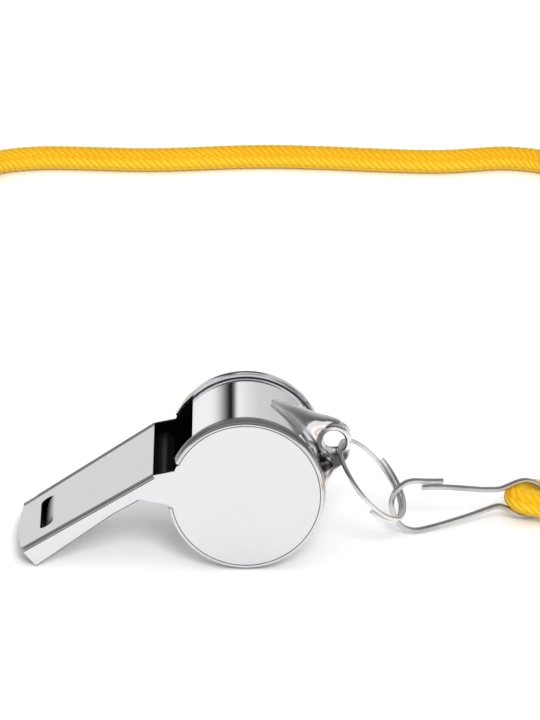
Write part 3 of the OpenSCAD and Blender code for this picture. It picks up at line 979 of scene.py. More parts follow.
def soft_edges(piece, width):
    modify(piece, "soft_edges", "BEVEL", width=width, segments=2, limit_method="ANGLE",
           angle_limit=EDGE_ANGLE)
    modify(piece, "flat_faces", "WEIGHTED_NORMAL", keep_sharp=False, weight=100)
    piece.data.shade_smooth()


def make_side_plate(name, side, flare):
    flat_r, section = rim_section(flare)
    piece = new_object(name)
    with editing(piece.data) as work:

        def add(p, deep):
            return work.verts.new((p[0], -HALF_W + deep, p[1]))

        outer = [add(p, 0) for p in [ring_at(flat_r, a) for a in RIM_TURNS] + CHEEK]
        inner = [add(p, SHEET) for p in [ring_at(FACE_R, a) for a in RIM_TURNS] + CHEEK]
        rows = [[outer[k]] + [add(ring_at(r, a), deep) for r, deep in section] + [inner[k]]
                for k, a in enumerate(RIM_TURNS)]
        work.faces.new(outer)
        work.faces.new(inner[::-1]).material_index = P_INSIDE_SHADE
        rim_faces(work, rows)
        edge_faces(work, outer, inner)
        bend_cheek(work, side)
        bmesh.ops.recalc_face_normals(work, faces=work.faces)
    piece.data.transform(LAID)
    soft_edges(piece, 0.04 * MM)
    return piece


near_plate = make_side_plate("near_plate", 1, math.radians(8))
far_plate = make_side_plate("far_plate", -1, math.radians(3))
# The near plate's skirt gets painted shade; the far plate's keeps the plain face finish.
for plate, node, skirt in ((near_plate, "side_plate_near", RIM_SHADE_STEEL),
                           (far_plate, "side_plate_far", PLATE_STEEL)):
    dress(plate, node, "whistle", "plate_steel",
          PLATE_STEEL, INSIDE_SHADE, skirt, SEAM_LINE_SHADE, SEAM_SHADE)
    print(plate.name, "faces:", len(plate.data.polygons))

# %% [markdown]
# ## Barrel strip
# One strip makes the barrel and the floor of the mouthpiece. A tube with a piece cut out could
# make the barrel, but not its run into the floor. So its section is walked along the outside
# and back along the inside, and then stretched across the width. The sharp lip behind the
# window is left crisp, because it is what splits the air.

# %% Strip section
LIP_ANGLE = 133.75
STRIP_END = 185
STRIP_STEPS = 168
BEND_R = 1.2 * MM
BEND_STEPS = 5


def rounded(points, radius, steps):
    """The polyline with the corners between its two ends rounded off."""
    out = [points[0]]
    for a, b, c in zip(points, points[1:], points[2:]):
        a, b, c = Vector(a), Vector(b), Vector(c)
        p, q = (a - b).normalized(), (c - b).normalized()
        half = p.angle(q) / 2
        reach = min(radius / math.tan(half), (a - b).length * 0.45, (c - b).length * 0.45)
        for k in range(steps + 1):
            s = k / steps
            out.append(tuple(b + p * reach * (1 - s) ** 2 + q * reach * s**2))
    return out + [points[-1]]


def strip_section():
    turns = [LIP_ANGLE - (LIP_ANGLE + 360 - STRIP_END) * k / STRIP_STEPS
             for k in range(STRIP_STEPS + 1)]
    low = [ring_at(STRIP_R, STRIP_END), top_at(NECK_BACK, NECK_H), top_at(WAIST_BACK, WAIST_DROP),
           TIP_LOW]
    x, z = ring_at(CHAMBER_R, STRIP_END)
    high = [(x, z + SHEET), top_at(NECK_BACK, NECK_H - SHEET),
            top_at(WAIST_BACK, WAIST_DROP - SHEET), top_at(TOP_L - MOUTH_SETBACK, MOUTH_H - SHEET)]
    outer = [ring_at(STRIP_R, a) for a in turns[:-1]] + rounded(low, BEND_R, BEND_STEPS)
    inner = [ring_at(CHAMBER_R, a) for a in turns[:-1]] + rounded(high, BEND_R, BEND_STEPS)
    return outer, inner


print("points along the strip:", len(strip_section()[0]))


# %% Barrel strip
def make_strip():
    outer, inner = strip_section()
    n = len(outer)
    faces, finish = [], []
    for k in range(n - 1):
        a, b = 2 * k, 2 * (n + k)
        faces += [(a, a + 1, a + 3, a + 2), (b, b + 2, b + 3, b + 1),
                  (a, a + 2, b + 2, b), (a + 1, b + 1, b + 3, a + 3)]
        # The strip's inner face gets the inside's painted shade.
        finish += [0, 1, 0, 0]
    last = 2 * (n - 1)
    faces += [(0, 2 * n, 2 * n + 1, 1), (last, last + 1, 2 * n + last + 1, 2 * n + last)]
    finish += [0, 0]
    piece = new_object("barrel_strip", both_sides(outer + inner), faces)
    piece.data.polygons.foreach_set("material_index", finish)
    tidy_normals(piece)
    piece.data.transform(LAID)
    soft_edges(piece, 0.05 * MM)
    return piece


strip = dress(make_strip(), "barrel_shell", "whistle", "strip_steel", STRIP_STEEL, INSIDE_SHADE)
print("strip faces:", len(strip.data.polygons))

# %% [markdown]
# ## Mouthpiece top
# The sloping plate has both long edges rolled over, a front edge that bulges a little, and a
# bite slot whose tongue is pressed down into the windway. A displaced plane would have no
# thickness at its edges, so one closed section across the plate is carried from the window to
# the mouth.

# %% Top plate form
EDGE_W = 0.42 * MM
EDGE_DROP = 0.34 * MM
EDGE_KEEP = 0.15 * MM
TURN_UP_W = 0.95 * MM
TURN_UP = 0.13 * MM
BITE_L = 10.5 * MM
BITE_W = 2.1 * MM
BITE_AT = 17.58 * MM
SLOT_FROM = BITE_AT - BITE_W / 2
SLOT_TO = BITE_AT + BITE_W / 2


def across_section(half):
    """One closed section across the plate: where it is sideways, and how far below the top."""
    near = [(-half, EDGE_DROP), (-half + EDGE_W, 0), (-half + EDGE_W + EDGE_KEEP, 0)]
    far = [(half - TURN_UP_W - EDGE_KEEP, 0), (half - TURN_UP_W, 0),
           (half - TURN_UP_W / 2, -TURN_UP * 0.3), (half - 0.1 * MM, -TURN_UP),
           (half, -TURN_UP * 0.6)]
    middle = [(half * k / 4, 0) for k in range(-3, 4)]
    below = [(-y, SHEET) for y in (-half, *[y for y, _ in middle], half)]
    return near + middle + far + below


def sweep_plate():
    stops = [SLOT_FROM * k / 4 for k in range(4)]
    stops += [SLOT_FROM - 0.5 * MM, SLOT_TO + 0.4 * MM, TOP_L - 1.6 * MM, TOP_L - 0.8 * MM, TOP_L]
    points = []
    for stop in stops:
        x, _ = top_at(stop, 0)
        half = TOP_W / 2 - drawn_in(x) * (x < FOLD_X)
        push = max(0.0, (stop - SLOT_TO) / (TOP_L - SLOT_TO)) ** 2
        for y, drop in across_section(half):
            bulge = MOUTH_BULGE / math.cos(SLOPE) * (1 - (y / half) ** 2) * push
            px, pz = top_at(stop + bulge, drop)
            points.append((px, y, pz))
    n = len(points) // len(stops)
    ends = [(0, 1, 2, 3, n - 2, n - 1)]
    ends += [(k, k + 1, n - k, n + 1 - k) for k in range(3, 9)]
    ends.append(tuple(range(9, n - 7)))
    faces = ring_faces(len(stops), n)
    for row in (0, (len(stops) - 1) * n):
        faces += [tuple(row + k for k in face) for face in ends]
    return new_object("top_plate", points, faces)


print("points across the plate:", len(across_section(TOP_W / 2)))

# %% [markdown]
# The slot is cut by a bar with rounded corners, in one boolean. Its tongue is added afterwards:
# it is level with the plate at the back of the slot and deep at the front, and its painted shade
# grows with its depth and at its near end, so that it is seen to go down into the dark.

# %% Bite slot and tongue
SLOT_ROUND = 1.0 * MM
SLOT_ROUND_STEPS = 6
BITE_DROP = 1.2 * MM
BITE_SLIT = 0.15 * MM
TONGUE_T = 0.35 * MM
TONGUE_STEPS = 8
TONGUE_PLAY = 0.02 * MM
TONGUE_SINK = 0.01 * MM
T_FACE, T_INSIDE_SHADE, T_TONGUE, T_FAR_EDGE_SHADE, T_NEAR_EDGE_SHADE = range(5)


def slot_bar():
    outline = []
    for front, side, start in ((1, 1, 0), (0, 1, 90), (0, -1, 180), (1, -1, 270)):
        along = SLOT_TO - SLOT_ROUND if front else SLOT_FROM + SLOT_ROUND
        for k in range(SLOT_ROUND_STEPS + 1):
            a = math.radians(start + 90 / SLOT_ROUND_STEPS * k)
            outline.append((along + SLOT_ROUND * math.cos(a),
                            side * (BITE_L / 2 - SLOT_ROUND) + SLOT_ROUND * math.sin(a)))
    points = []
    for drop in (-SHEET, 2 * SHEET):
        for along, y in outline:
            px, pz = top_at(along, drop)
            points.append((px, y, pz))
    n = len(outline)
    return new_object("slot_bar", points, ring_faces(2, n) + end_faces(2, n))


def tongue_shade_amount(front, side):
    """How much painted shade the tongue gets: more towards its front, and at its near end."""
    return min(1.0, 1.25 * front + max(0.0, (0.28 - side) * 4))


def add_tongue(mesh):
    with editing(mesh) as work:
        down = work.verts.layers.float.new("pressed_down")
        rows = []
        for k in range(TONGUE_STEPS + 1):
            s = k / TONGUE_STEPS
            along = SLOT_FROM + (SLOT_TO - BITE_SLIT - SLOT_FROM) * s
            drop = TONGUE_SINK + BITE_DROP * s**1.5
            row = []
            for m in range(TONGUE_STEPS + 1):
                y = (2 * m / TONGUE_STEPS - 1) * (BITE_L / 2 - TONGUE_PLAY)
                pair = []
                for deep in (0, TONGUE_T):
                    px, pz = top_at(along, drop + deep)
                    v = work.verts.new((px, y, pz))
                    v[down] = tongue_shade_amount(s, m / TONGUE_STEPS)
                    pair.append(v)
                row.append(pair)
            rows.append(row)
        new = []
        for a, b in zip(rows, rows[1:]):
            for p, q, r, t in zip(a, a[1:], b, b[1:]):
                new.append(work.faces.new((p[0], q[0], t[0], r[0])))
                new.append(work.faces.new((p[1], r[1], t[1], q[1])))
            for m in (0, TONGUE_STEPS):
                new.append(work.faces.new((a[m][0], b[m][0], b[m][1], a[m][1])))
        for row in (rows[0], rows[-1]):
            for p, q in zip(row, row[1:]):
                new.append(work.faces.new((p[0], p[1], q[1], q[0])))
        for face in new:
            face.material_index = T_TONGUE
        bmesh.ops.recalc_face_normals(work, faces=new)


print("slot:", round(BITE_L / MM, 1), "by", round(BITE_W / MM, 1), "mm")

# %% [markdown]
# The boolean leaves faces in no useful order, so the plate's finishes are given by direction
# and place: what faces down or lines the slot is in painted shade, and what faces sideways is a
# rolled edge, darker as painted shade.

# %% Top plate
BELOW = Vector((math.sin(SLOPE), 0, -math.cos(SLOPE)))


def top_plate_finish(face):
    facing = face.normal.dot(BELOW)
    x, y, _ = face.center
    front, back = top_at(SLOT_TO, SHEET)[0] - MM, top_at(SLOT_FROM, 0)[0] + MM
    in_slot = abs(facing) < 0.3 and abs(y) < BITE_L / 2 + 0.1 * MM and front < x < back
    if facing > 0.9 or in_slot:
        return T_INSIDE_SHADE
    if abs(face.normal.y) > 0.4 and facing < -0.4:
        return T_NEAR_EDGE_SHADE if y < 0 else T_FAR_EDGE_SHADE
    return T_FACE


def make_top_plate():
    piece, bar = sweep_plate(), slot_bar()
    tidy_normals(piece)
    tidy_normals(bar)
    modify(piece, "bite_slot", "BOOLEAN", object=bar, solver="EXACT")
    settle(piece)
    bpy.data.objects.remove(bar)
    for face in piece.data.polygons:
        face.material_index = top_plate_finish(face)
    add_tongue(piece.data)
    piece.data.transform(LAID)
    soft_edges(piece, 0.05 * MM)
    return piece


top_plate = dress(make_top_plate(), "mouthpiece_top", "whistle", "strip_steel",
                  MOUTH_STEEL, INSIDE_SHADE, TONGUE_STEEL, RIM_SHADE_STEEL, ROLLED_EDGE_SHADE)
print("top plate faces:", len(top_plate.data.polygons))

# %% [markdown]
# ## Wind ramp
# The insert narrows the windway and sends the air at the lip; it is drawn near black, as painted
# shade for the dark inside the window. Through the window only its nose is seen, and a plain block
# would show no light there. Its outline is rounded at the nose, which catches the one soft
# highlight inside the window, and its back hugs the chamber.

# %% Ramp
RAMP_GAP = 0.05 * MM
RAMP_PAST = 0.45 * MM
RAMP_ROUND = 0.5 * MM
RAMP_BACK_RISE = 1.38 * MM
RAMP_BACK_STEPS = 8


def ramp_outline():
    drop = NECK_H - SHEET
    nose = Vector(top_at(-RAMP_PAST, drop))
    back_r = CHAMBER_R + RAMP_GAP
    start = math.degrees(math.pi - math.asin(RAMP_BACK_RISE / back_r))
    end = math.degrees(math.pi + math.asin((NECK_FALL - SHEET) / back_r))
    back = [ring_at(back_r, start + (end - start) * k / RAMP_BACK_STEPS)
            for k in range(RAMP_BACK_STEPS + 1)]
    front = rounded([top_at(NECK_BACK, drop - 2 * RAMP_GAP), tuple(nose),
                     tuple(nose + RAMP_ROUND * Vector((1, 0.1))),
                     tuple(nose + RAMP_ROUND * Vector((1.8, -0.6))), back[0]], RAMP_ROUND, 5)
    return front + back[1:] + [top_at(NECK_BACK, drop - RAMP_GAP / 2)]


def make_ramp():
    outline = ramp_outline()
    n = len(outline)
    faces = [(2 * k, 2 * k + 1, 2 * ((k + 1) % n) + 1, 2 * ((k + 1) % n)) for k in range(n)]
    faces += [tuple(range(0, 2 * n, 2)), tuple(range(1, 2 * n, 2))]
    piece = new_object("wind_insert", both_sides(outline, RAMP_GAP), faces)
    tidy_normals(piece)
    piece.data.transform(LAID)
    smooth_to(piece, 40)
    return piece


ramp = dress(make_ramp(), "wind_ramp", "whistle", "ramp_plastic", SHADED_RAMP_PLASTIC)
print("ramp faces:", len(ramp.data.polygons))

# %% [markdown]
# ## Lanyard loop
# The loop is a piece of sheet pinched into a soft ridge with an eye through its nose. Bent sheet
# of even thickness would need every fold drawn, and most of them are hidden. A grid of arches
# gives the broad form instead, each a rounded ridge on a flat flange.

# %% Loop arches
LOOP_H = 4.6 * MM
LOOP_W = 2 * (HALF_W - RIM_DEPTH - 0.3 * MM)
LOOP_LOW = -13
LOOP_HIGH = 69
LOOP_SINK = 0.3 * MM
LOOP_FLANGE = 0.26 * MM
LOOP_ROWS = 110
LOOP_SHARES = [
    (0, 0.13, 0.8), (0.06, 0.25, 0.95), (0.135, 0.45, 1), (0.195, 0.71, 1),
    (0.245, 0.89, 1), (0.305, 0.955, 0.96), (0.37, 0.99, 0.88), (0.43, 1, 0.77),
    (0.49, 0.98, 0.69), (0.54, 0.83, 0.66), (0.6, 0.6, 0.62), (0.67, 0.44, 0.56),
    (0.77, 0.3, 0.48), (0.89, 0.16, 0.33), (1, 0.06, 0.1),
]
RIDGE_SHARES = [(0, 0.8), (0.135, 0.9), (0.245, 1.0), (0.3, 1.05), (0.5, 1.1), (0.56, 1.3),
                (0.62, 1.5), (0.68, 1.5), (0.77, 1.25), (0.89, 0.8), (1, 0.25)]
TENT_SHARES = [(0, 1), (0.14, 1), (0.3, 0), (1, 0)]
RIDGE_POWER = 3.4
RIDGE_STEPS = 22
FOOT_STEPS = 10


def share_of(shares, at):
    return float(np.interp(at, *zip(*shares)))


def loop_rows():
    path = smooth_path(LOOP_SHARES, 12)
    for at in np.linspace(0, 1, LOOP_ROWS + 1):
        yield at, np.interp(at, path[:, 0], path[:, 1]), np.interp(at, path[:, 0], path[:, 2])


def loop_arch(share, high, wide):
    """One cross-section: a rounded ridge that runs out into a flat flange on the barrel."""
    turn = math.radians(LOOP_LOW + (LOOP_HIGH - LOOP_LOW) * share)
    foot = LOOP_W / 2 * wide
    ridge = min(share_of(RIDGE_SHARES, share) * MM, foot * 0.7)
    tent = share_of(TENT_SHARES, share)
    tall = max(LOOP_H * high - LOOP_FLANGE, 0.03 * MM)
    inner = min(2.2 * ridge, foot * 0.95)
    across = [inner * k / RIDGE_STEPS for k in range(RIDGE_STEPS)]
    across += [inner + (foot - inner) * k / FOOT_STEPS for k in range(FOOT_STEPS + 1)]
    side = []
    for y in across:
        bell = math.exp(-math.log(2) * (y / ridge) ** RIDGE_POWER)
        rise = (1 - tent) * bell + tent * (1 - y / foot)
        side.append((STRIP_R + LOOP_FLANGE + tall * rise, y))
    base = [(STRIP_R - LOOP_SINK, foot), (STRIP_R - LOOP_SINK, 0)]
    ring = side + base + [(r, -y) for r, y in base[:1]] + [(r, -y) for r, y in side[:0:-1]]
    return [(r * math.cos(turn), y, r * math.sin(turn)) for r, y in ring]


print("arches along the loop:", LOOP_ROWS + 1)

# %% [markdown]
# A rolled rim is laid on both sides of the eye, and a soft bulge under it, where the sheet
# rolls under. They only have to overlap the arches, because a fine remesh joins them later.

# %% Eyelet and rolled bottom
EYELET_R = 2.07 * MM
EYELET_WIRE = 0.46 * MM
EYELET_OUT = 0.85 * MM
ROLL_AT = (-0.05 * MM, -2.15 * MM)
ROLL_R = (2.1 * MM, 1.6 * MM, 1.7 * MM)


def add_eyelet(points, faces, centre, side):
    first, turns, ring = len(points), 48, 14
    for i in range(turns):
        a = math.tau * i / turns
        for k in range(ring):
            b = math.tau * k / ring
            r = EYELET_R + EYELET_WIRE * math.cos(b)
            y = side * EYELET_OUT + EYELET_WIRE * math.sin(b)
            points.append((centre[0] + r * math.cos(a), y, centre[1] + r * math.sin(a)))
    faces += ring_faces(turns, ring, first, closed=True)


def add_roll(points, faces, centre):
    first, turns, rings = len(points), 32, 16
    for i in range(rings + 1):
        a = math.pi * (i + 0.001) / (rings + 0.002)
        for k in range(turns):
            b = math.tau * k / turns
            points.append((centre[0] + ROLL_AT[0] + ROLL_R[0] * math.sin(a) * math.cos(b),
                           ROLL_R[1] * math.cos(a),
                           centre[1] + ROLL_AT[1] + ROLL_R[2] * math.sin(a) * math.sin(b)))
    faces += ring_faces(rings + 1, turns, first) + end_faces(rings + 1, turns, first)


print("eyelet:", round((EYELET_R + EYELET_WIRE) * 2 / MM, 2), "mm across")

# %% [markdown]
# Painted shade darkens the loop where its sheet turns away: a crescent inside the rim on
# the barrel's side, and the underside below the eye, with a lighter streak left in it as a
# painted highlight. A direction mask alone would darken the barrel's side everywhere, so each
# point is given its shade by where it is from the eye, in millimetres.

# %% Painted shade of the rolled rim
CRESCENT_R = 1.95
CRESCENT_W = 0.24
CRESCENT_SIDE = math.radians(165)
UNDER_FROM = -1.0
UNDER_TO = -4.0
SHINE_W = 0.28


def paint_rolled_rim_shade(mesh, x, z):
    at = np.empty(len(mesh.vertices) * 3)
    mesh.vertices.foreach_get("co", at)
    at = at.reshape(-1, 3)
    right, up, out = (at[:, 0] - x) / MM, (at[:, 2] - z) / MM, np.abs(at[:, 1]) / MM
    away, turn = np.hypot(right, up), np.arctan2(up, right)
    crescent = np.clip(2.6 - np.abs(away - CRESCENT_R) / CRESCENT_W, 0, 1)
    crescent *= np.clip(1.6 * np.cos(turn - CRESCENT_SIDE) - 0.35, 0, 1)
    under = np.clip((UNDER_FROM - up) / 0.7, 0, 1) * np.clip((up - UNDER_TO) / 0.4, 0, 1)
    under *= away > 1.5
    under *= 1 - 0.75 * np.exp(-(((right + 0.15 - 0.25 * up) / SHINE_W) ** 2))
    shade_mark = np.maximum(0.9 * crescent, under) * np.clip((out - 0.35) * 2.5, 0, 1)
    layer = mesh.attributes.new("rolled_rim", "FLOAT", "POINT")
    layer.data.foreach_set("value", shade_mark)


print("dark crescent:", CRESCENT_R, "mm from the middle of the eye")

# %% [markdown]
# One voxel remesh joins arches, rims and bulge into a skin. A boolean drills the eye, a second
# remesh evens out its faces, and a few smoothing passes soften the joins the way pressing does.

# %% Loop
EYE_D = 3.3 * MM
EYE_ANGLE = 18.8
EYE_OUT = 2.5 * MM
SKIN = {"mode": "VOXEL", "voxel_size": 0.09 * MM}


def make_loop():
    rows = [loop_arch(*row) for row in loop_rows()]
    count, n = len(rows), len(rows[0])
    points = [p for row in rows for p in row]
    faces = ring_faces(count, n) + end_faces(count, n)
    x, z = ring_at(STRIP_R + EYE_OUT, EYE_ANGLE)
    for side in (-1, 1):
        add_eyelet(points, faces, (x, z), side)
    add_roll(points, faces, (x, z))
    piece = new_object("lanyard_pressing", points, faces)
    tidy_normals(piece)
    bpy.ops.mesh.primitive_cylinder_add(vertices=96, radius=EYE_D / 2, depth=LOOP_W * 1.2,
                                        location=(x, 0, z), rotation=(math.pi / 2, 0, 0))
    drill = bpy.context.active_object
    modify(piece, "joined", "REMESH", **SKIN)
    modify(piece, "eye", "BOOLEAN", object=drill, solver="EXACT")
    modify(piece, "one_skin", "REMESH", **SKIN)
    modify(piece, "pressed_soft", "SMOOTH", factor=0.5, iterations=14)
    settle(piece)
    bpy.data.objects.remove(drill)
    paint_rolled_rim_shade(piece.data, x, z)
    piece.data.transform(LAID)
    piece.data.shade_smooth()
    return piece


lanyard_pressing = make_loop()
dress(lanyard_pressing, "lanyard_loop", "whistle", "loop_steel", LOOP_STEEL)
print("loop faces:", len(lanyard_pressing.data.polygons))

# %% [markdown]
# ## Cork pea
# The pea is a ball of pressed cork granules that lies on the chamber's floor. It is hardly
# seen, but it is what warbles the note. A bump could fake the granules, but not on the ball's
# outline, so a displacement by the same kind of cells makes them real dents.

# %% Pea
PEA_DENT = 0.12 * MM
PEA_GRANULE = 1.1 * MM
pea_low, pea_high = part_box("pea")


def make_pea():
    bpy.ops.mesh.primitive_ico_sphere_add(subdivisions=6, radius=(pea_high.x - pea_low.x) / 2)
    ball = bpy.context.active_object
    ball.name = "cork_pea"
    cells = bpy.data.textures.new("granules", "VORONOI")
    cells.noise_scale = PEA_GRANULE
    modify(ball, "granules", "DISPLACE", texture=cells, texture_coords="LOCAL",
           strength=-PEA_DENT, mid_level=0)
    settle(ball)
    ball.data.transform(Matrix.Translation((pea_low + pea_high) / 2))
    ball.data.shade_smooth()
    return ball


pea = dress(make_pea(), "pea", "pea", "cork", CORK)
print("pea faces:", len(pea.data.polygons))

# %% [markdown]
# ## Wires by Geometry Nodes
# The split ring, the hook and its gate are all round wire along a path. A curve with a bevel
# could do it too, but then each would be set up on its own. One Geometry Nodes tree sweeps a
# circle along a chain of edges, with the wire's radius and its number of sides as named inputs.
# The result is made a plain mesh before it joins its body.


# %% Wire tree
def make_wire_tree():
    build, start, end = new_group(
        "wire_on_path",
        "GeometryNodeTree",
        [
            ("Geometry", "NodeSocketGeometry", None),
            ("Radius", "NodeSocketFloat", 0.0004),
            ("Sides", "NodeSocketInt", 16),
            ("Finish", "NodeSocketMaterial", None),
        ],
        [("Geometry", "NodeSocketGeometry")],
    )
    add, given = build.add, start.outputs
    line = add("GeometryNodeMeshToCurve", in0=given["Geometry"])
    circle = add("GeometryNodeCurvePrimitiveCircle", resolution=given["Sides"],
                 radius=given["Radius"])
    tube = add("GeometryNodeCurveToMesh", curve=line, profile_curve=circle, fill_caps=True)
    whole = add("GeometryNodeRealizeInstances", in0=tube)
    smooth = add("GeometryNodeSetShadeSmooth", in0=whole)
    coat = add("GeometryNodeSetMaterial", geometry=smooth, material=given["Finish"])
    build.set(end, in0=coat)
    return build.tree


WIRE_TREE = make_wire_tree()
print("inputs of the wire tree:", [i.name for i in WIRE_TREE.interface.items_tree])


# %% Wire along a path
def wire(name, path, radius, sides, finish):
    edges = [(k, k + 1) for k in range(len(path) - 1)]
    piece = new_object(name, path, edges=edges)
    sweep = modify(piece, "wire", "NODES", node_group=WIRE_TREE)
    wanted = {"Radius": radius, "Sides": sides, "Finish": finish}
    for item in WIRE_TREE.interface.items_tree:
        if item.item_type == "SOCKET" and item.in_out == "INPUT" and item.name in wanted:
            sweep[item.identifier] = wanted[item.name]
    settle(piece)
    tidy_normals(piece)
    smooth_to(piece, 50)
    return piece


# %% [markdown]
# ## Split ring
# The ring is spring wire wound 1.44 times, and the two layers lie side by side on the hook's
# side. Two plain rings would look right from the front only, so the path is one wire that
# crosses over. Its centre, slope and lean put it through the loop's eye and the hook's end bend.

# %% Ring
RING_R = 6.6 * MM
RING_WIRE_R = 0.325 * MM
RING_SLOPE = math.radians(49.4)
RING_LEAN = math.radians(10.4)
RING_FROM, RING_TO = -75, 445
RING_CROSS = (115, 245)
RING_STEP = 2 * RING_WIRE_R + 0.03 * MM
RING_STEPS = 260
ring_low, ring_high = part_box("split_ring")


def ring_path():
    turned = np.linspace(RING_FROM, RING_TO, RING_STEPS + 1)
    c = np.clip((turned - RING_CROSS[0]) / (RING_CROSS[1] - RING_CROSS[0]), 0, 1)
    rise = RING_STEP * (c * c * (3 - 2 * c) - 0.5)
    a = np.radians(turned)
    flat = np.stack([RING_R * np.cos(a), RING_R * np.sin(a), rise], axis=1)
    turn = Matrix.Rotation(RING_SLOPE, 3, "Y") @ Matrix.Rotation(RING_LEAN, 3, "X")
    return flat @ np.array(turn).T + np.array((ring_low + ring_high) / 2)


split_ring = wire("ring_coils", ring_path(), RING_WIRE_R, 16, RING_WIRE)
dress(split_ring, "split_ring", "ring", "ring_wire")
print("ring faces:", len(split_ring.data.polygons))

# %% [markdown]
# ## Wire hook and its gate
# The hook is one bent wire whose free arm springs inwards. The arm is a body of its own, so it
# is a piece of its own too. Two wires that both ran on to the bend's axis would cut through each
# other when the gate turns. So both stop just short of it, and a small ball on the hook fills
# the gap at every angle of the gate.

# %% Hook
HOOK_L = 23.3
HOOK_H = 7.6
HOOK_WIRE_R = 0.4 * MM
HOOK_YAW = math.radians(20)
HOOK_X = 24.9907
HOOK_Y = 2.19
FRAME_SHARES = [
    (0.326, 0.908), (0.227, 0.947), (0.137, 0.993), (0.09, 0.975), (0.047, 0.895),
    (0.015, 0.79), (0, 0.632), (0.006, 0.46), (0.034, 0.25), (0.077, 0.1),
    (0.145, 0.015), (0.2, 0.012), (0.309, 0.053), (0.485, 0.145), (0.62, 0.235),
    (0.66, 0.26), (0.69, 0.262), (0.73, 0.215), (0.785, 0.1), (0.83, 0.025),
    (0.876, 0), (0.94, 0.045), (0.985, 0.16), (1, 0.3), (0.985, 0.46),
    (0.93, 0.6), (0.885, 0.675), (0.85, 0.7), (0.81, 0.69), (0.74, 0.63),
    (0.71, 0.605), (0.6806, 0.598),
]
GATE_SHARES = [
    (0.6754, 0.598), (0.64, 0.612), (0.588, 0.632), (0.485, 0.697), (0.34, 0.785),
    (0.25, 0.825), (0.196, 0.838),
]
PIVOT_SHARE = (0.678, 0.598)
BALL_R = HOOK_WIRE_R * 0.999
BALL_SIDES, BALL_ROWS = 18, 12


def hook_at(share):
    x = HOOK_X + share[0] * HOOK_L * math.cos(HOOK_YAW)
    y = HOOK_Y + share[0] * HOOK_L * math.sin(HOOK_YAW)
    return (x * MM, y * MM, HOOK_WIRE_R + share[1] * HOOK_H * MM)


def hook_wire(name, shares):
    path = even_path(smooth_path([hook_at(s) for s in shares], 8), 0.14 * MM)
    return wire(name, path, HOOK_WIRE_R, 18, HOOK_WIRE)


def add_pivot_ball(piece):
    """Fills the small gap that the two wire ends leave round the axis of the gate."""
    middle, points = Vector(hook_at(PIVOT_SHARE)), []
    for i in range(BALL_ROWS + 1):
        a = math.pi * i / BALL_ROWS
        for k in range(BALL_SIDES):
            x, y = ring_at(math.sin(a), 360 * k / BALL_SIDES)
            points.append(middle + BALL_R * Vector((y, x, math.cos(a))))
    with editing(piece.data) as work:
        corners = [work.verts.new(p) for p in points]
        for face in ring_faces(BALL_ROWS + 1, BALL_SIDES):
            work.faces.new([corners[k] for k in face]).smooth = True
    tidy_normals(piece)


hook = dress(hook_wire("hook_bent_wire", FRAME_SHARES), "hook_frame", "lanyard", "hook_wire")
add_pivot_ball(hook)
gate = dress(hook_wire("gate_bent_wire", GATE_SHARES), "hook_gate", "gate", "hook_wire")
print("hook faces:", len(hook.data.polygons), "gate faces:", len(gate.data.polygons))

# %% [markdown]
# ## Floor and light
# The floor is plain white and keeps a soft shadow. A brighter lamp would clip the pale metal to
# white before the floor looked white, so the floor glows faintly by itself.

# %% Floor
FLOOR_SIZE = 6.0
FLOOR_DROP = 0.1 * MM
FLOOR_WHITE = 0.90
FLOOR_LIFT = 0.08


def make_floor():
    s = FLOOR_SIZE / 2
    corners = [(x, y, -FLOOR_DROP) for x, y in ((-s, -s), (s, -s), (s, s), (-s, s))]
    floor = new_object("studio_floor", corners, [(0, 1, 2, 3)])
    finish, _, _ = new_finish(
        "floor_white",
        base_color=grey(FLOOR_WHITE),
        roughness=0.9,
        specular_ior_level=0,
        emission_color=grey(1),
        emission_strength=FLOOR_LIFT,
    )
    floor.data.materials.append(finish)
    return floor


floor = make_floor()
print("floor:", FLOOR_SIZE, "m")

# %% [markdown]
# Polished metal is drawn by what it reflects. A real studio would put cards and lamps round the
# whistle, and the world can be painted as the same room with no objects in it. Glossy rays see
# that room: bright sides, a bright backdrop that falls off to the right, one dark upright with
# soft edges, a low dark skyline and a ceiling that darkens towards the front. Other rays see a
# soft dome that is brighter above and in front, and the camera sees plain white.

# %% World
CEILING = [(0.15, 0.46), (0.33, 0.38), (0.5, 0.27), (0.7, 0.13), (0.85, 0.09)]
WALLS = [
    (0.24, 0.95), (0.37, 0.3), (0.431, 0.3), (0.439, 1), (0.488, 0.98), (0.5, 0.87),
    (0.522, 0.71), (0.551, 0.66), (0.575, 0.3), (0.63, 0.3), (0.76, 0.95),
]
UPRIGHT = [(0.449, 1), (0.475, 0.003), (0.4775, 0.015), (0.4875, 1)]
WALL_TOP = [(0.265, 1), (0.325, 0)]
SKYLINE_SIDES = [(0.468, 0), (0.48, 1), (0.518, 1), (0.528, 0)]
SKYLINE_TOP = [(0.165, 1), (0.2, 0)]
SKYLINE_GREY = 0.14
DOME_LEVEL = (0.92, 0.18)
DOME_FRONT = 0.35


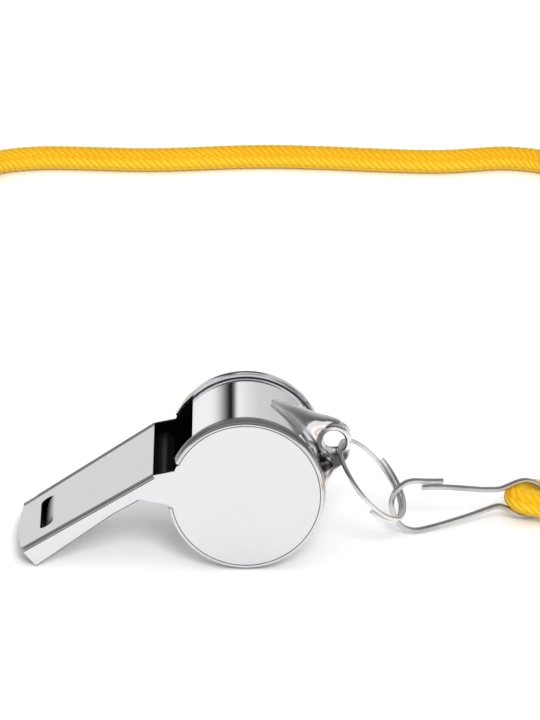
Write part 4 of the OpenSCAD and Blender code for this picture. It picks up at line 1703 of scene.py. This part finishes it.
def studio_room(build, x, y, z):
    """What glossy rays see, by how high they look and in which direction."""
    calc = build.math
    over = calc("DIVIDE", calc("ARCTAN2", z, y), math.pi)
    rise = calc("DIVIDE", calc("ARCSINE", z), math.pi / 2)
    round_us = calc("ADD", calc("DIVIDE", calc("ARCTAN2", x, y), math.tau), 0.5)
    walls = calc("MULTIPLY", build.ramp(round_us, WALLS), build.ramp(round_us, UPRIGHT, "EASE"))
    sides = build.ramp(round_us, SKYLINE_SIDES)
    skyline = calc("MULTIPLY", sides, build.ramp(rise, SKYLINE_TOP))
    low = build.mix(skyline, walls, grey(SKYLINE_GREY))
    return build.mix(build.ramp(rise, WALL_TOP), build.ramp(over, CEILING), low)


def make_world():
    world = bpy.data.worlds.new("studio")
    bpy.context.scene.world = world
    world.use_nodes = True
    build = Tree(world.node_tree)
    place = build.add("ShaderNodeTexCoord").outputs["Generated"]
    x, y, z = build.add("ShaderNodeSeparateXYZ", in0=place).outputs
    front = build.math("SUBTRACT", z, build.math("MULTIPLY", y, DOME_FRONT))
    dome = build.math("MULTIPLY_ADD", build.math("MAXIMUM", front, 0.0), *DOME_LEVEL)
    ray = build.add("ShaderNodeLightPath").outputs
    seen = build.mix(ray["Is Glossy Ray"], dome, studio_room(build, x, y, z))
    shown = build.mix(ray["Is Camera Ray"], seen, grey(1.0))
    build.set(world.node_tree.nodes["Background"], color=shown, strength=1)
    return world


studio = make_world()
print("nodes in the studio:", len(studio.node_tree.nodes))

# %% [markdown]
# Two round lamps light the rest. The key lamp stands low and in front, because the shadow of
# the photograph falls close behind the whistle. The fill lamp hardly does more than open the
# left side. Neither is seen in the metal, which keeps the painted room clean.


# %% Lamps
def make_lamp(name, place, size, power):
    lamp = bpy.data.lights.new(name, "AREA")
    lamp.shape = "DISK"
    lamp.size = size
    lamp.energy = power
    holder = place_aimed(name, lamp, place, -Vector(place))
    holder.visible_glossy = False
    return holder


lamps = [
    make_lamp("key_lamp", (0.22, -1.26, 0.94), 0.54, 15.5),
    make_lamp("fill_lamp", (-0.4, -0.5, 0.6), 0.6, 0.12),
]
bpy.context.scene.view_settings.view_transform = "Standard"
print("lamps:", ", ".join(lamp.name for lamp in lamps))
